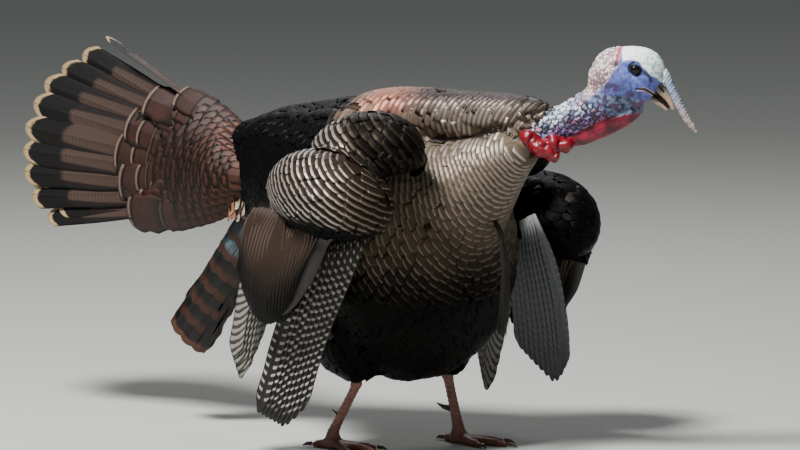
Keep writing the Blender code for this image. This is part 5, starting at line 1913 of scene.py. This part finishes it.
def plumed(pieces):
    """Gives body coats their one material."""
    if "plumage" not in built:
        built["plumage"] = contour_feather_material()
    for piece in pieces:
        finished(piece, "bronze_plumage", built["plumage"])


class TURKEY_OT_stage(Operator):
    """Make the pale floor, the soft lights and the camera"""

    bl_idname = "turkey.stage"
    bl_label = "Stage"

    def execute(self, context):
        stage()
        return {"FINISHED"}


class TURKEY_OT_skin(Operator):
    """Melt the flesh into one skin, with the head's lids, folds and warts and the scales of the legs"""

    bl_idname = "turkey.skin"
    bl_label = "Skin"

    def execute(self, context):
        built["skin"], built["dressed"] = made_skin(flesh())
        return {"FINISHED"}


class TURKEY_OT_eyes(Operator):
    """Make both eyes"""

    bl_idname = "turkey.eyes"
    bl_label = "Eyes"

    def execute(self, context):
        eyes()
        return {"FINISHED"}


class TURKEY_OT_bill(Operator):
    """Make both halves of the bill and the lining of the mouth"""

    bl_idname = "turkey.bill"
    bl_label = "Bill"

    def execute(self, context):
        bills()
        mouth_lining()
        return {"FINISHED"}


class TURKEY_OT_claws(Operator):
    """Make the claws and spurs of both feet"""

    bl_idname = "turkey.claws"
    bl_label = "Claws and spurs"

    def execute(self, context):
        claws()
        return {"FINISHED"}


class TURKEY_OT_bristles(Operator):
    """Make the beard and the sparse bristles of the head"""

    bl_idname = "turkey.bristles"
    bl_label = "Beard and bristles"

    def execute(self, context):
        coat_ground()
        material = bristle_material()
        beard(material)
        head_bristles(built["dressed"], material)
        return {"FINISHED"}


class TURKEY_OT_body_coat(Operator):
    """Lay the feathers of neck, breast, flanks, back and rump"""

    bl_idname = "turkey.body_coat"
    bl_label = "Body coat"

    def execute(self, context):
        plumed(body_coat(*coat_ground()))
        return {"FINISHED"}


class TURKEY_OT_wing_coats(Operator):
    """Lay the small feathers of both shoulders and forearms"""

    bl_idname = "turkey.wing_coats"
    bl_label = "Wing coats"

    def execute(self, context):
        plumed(wing_coats(*coat_ground()))
        return {"FINISHED"}


class TURKEY_OT_thigh_coats(Operator):
    """Lay the feathers of both thighs"""

    bl_idname = "turkey.thigh_coats"
    bl_label = "Thigh coats"

    def execute(self, context):
        plumed(thigh_coats(*coat_ground()))
        return {"FINISHED"}


class TURKEY_OT_under_tail(Operator):
    """Make the banded coverts under the tail"""

    bl_idname = "turkey.under_tail"
    bl_label = "Under tail"

    def execute(self, context):
        under_tail()
        return {"FINISHED"}


class TURKEY_OT_tail_feathers(Operator):
    """Make the fan's long feathers"""

    bl_idname = "turkey.tail_feathers"
    bl_label = "Tail feathers"

    def execute(self, context):
        tail_feathers()
        return {"FINISHED"}


class TURKEY_OT_tail_coverts(Operator):
    """Make the coverts over the tail's root and the down below it"""

    bl_idname = "turkey.tail_coverts"
    bl_label = "Tail coverts"

    def execute(self, context):
        tail_coverts()
        vent_tuft()
        return {"FINISHED"}


class TURKEY_OT_wing_feathers(Operator):
    """Make the primaries, secondaries and long coverts of both wings"""

    bl_idname = "turkey.wing_feathers"
    bl_label = "Wing feathers"

    def execute(self, context):
        wings(coat_ground()[2])
        return {"FINISHED"}


GROUPS = (TurkeyHead, TurkeyCoat, TurkeyTail, TurkeyWing, TurkeyStage, Turkey)
STEPS = (
    TURKEY_OT_stage, TURKEY_OT_skin, TURKEY_OT_eyes, TURKEY_OT_bill, TURKEY_OT_claws, TURKEY_OT_bristles,
    TURKEY_OT_body_coat, TURKEY_OT_wing_coats, TURKEY_OT_thigh_coats, TURKEY_OT_under_tail,
    TURKEY_OT_tail_feathers, TURKEY_OT_tail_coverts, TURKEY_OT_wing_feathers,
)


class TURKEY_PT_panel(Panel):
    """The steps in their order, over the sizes and colours of each part"""

    bl_idname = "TURKEY_PT_panel"
    bl_label = "Wild turkey"
    bl_space_type = "VIEW_3D"
    bl_region_type = "UI"
    bl_category = "Turkey"

    def draw(self, context):
        for made in STEPS:
            self.layout.operator(made.bl_idname)
        for part in ("head", "coat", "tail", "wing", "stage"):
            box = self.layout.box()
            box.label(text=part.capitalize())
            group = getattr(context.scene.turkey, part)
            for name in group.__annotations__:
                box.prop(group, name)


CLASSES = GROUPS + STEPS + (TURKEY_PT_panel,)


def register():
    for kind in CLASSES:
        bpy.utils.register_class(kind)
    bpy.types.Scene.turkey = PointerProperty(type=Turkey)


def unregister():
    del bpy.types.Scene.turkey
    for kind in reversed(CLASSES):
        bpy.utils.unregister_class(kind)


def main():
    register()
    for made in STEPS:
        getattr(bpy.ops.turkey, made.bl_idname.split(".")[1])()


if __name__ == "__main__":
    main()
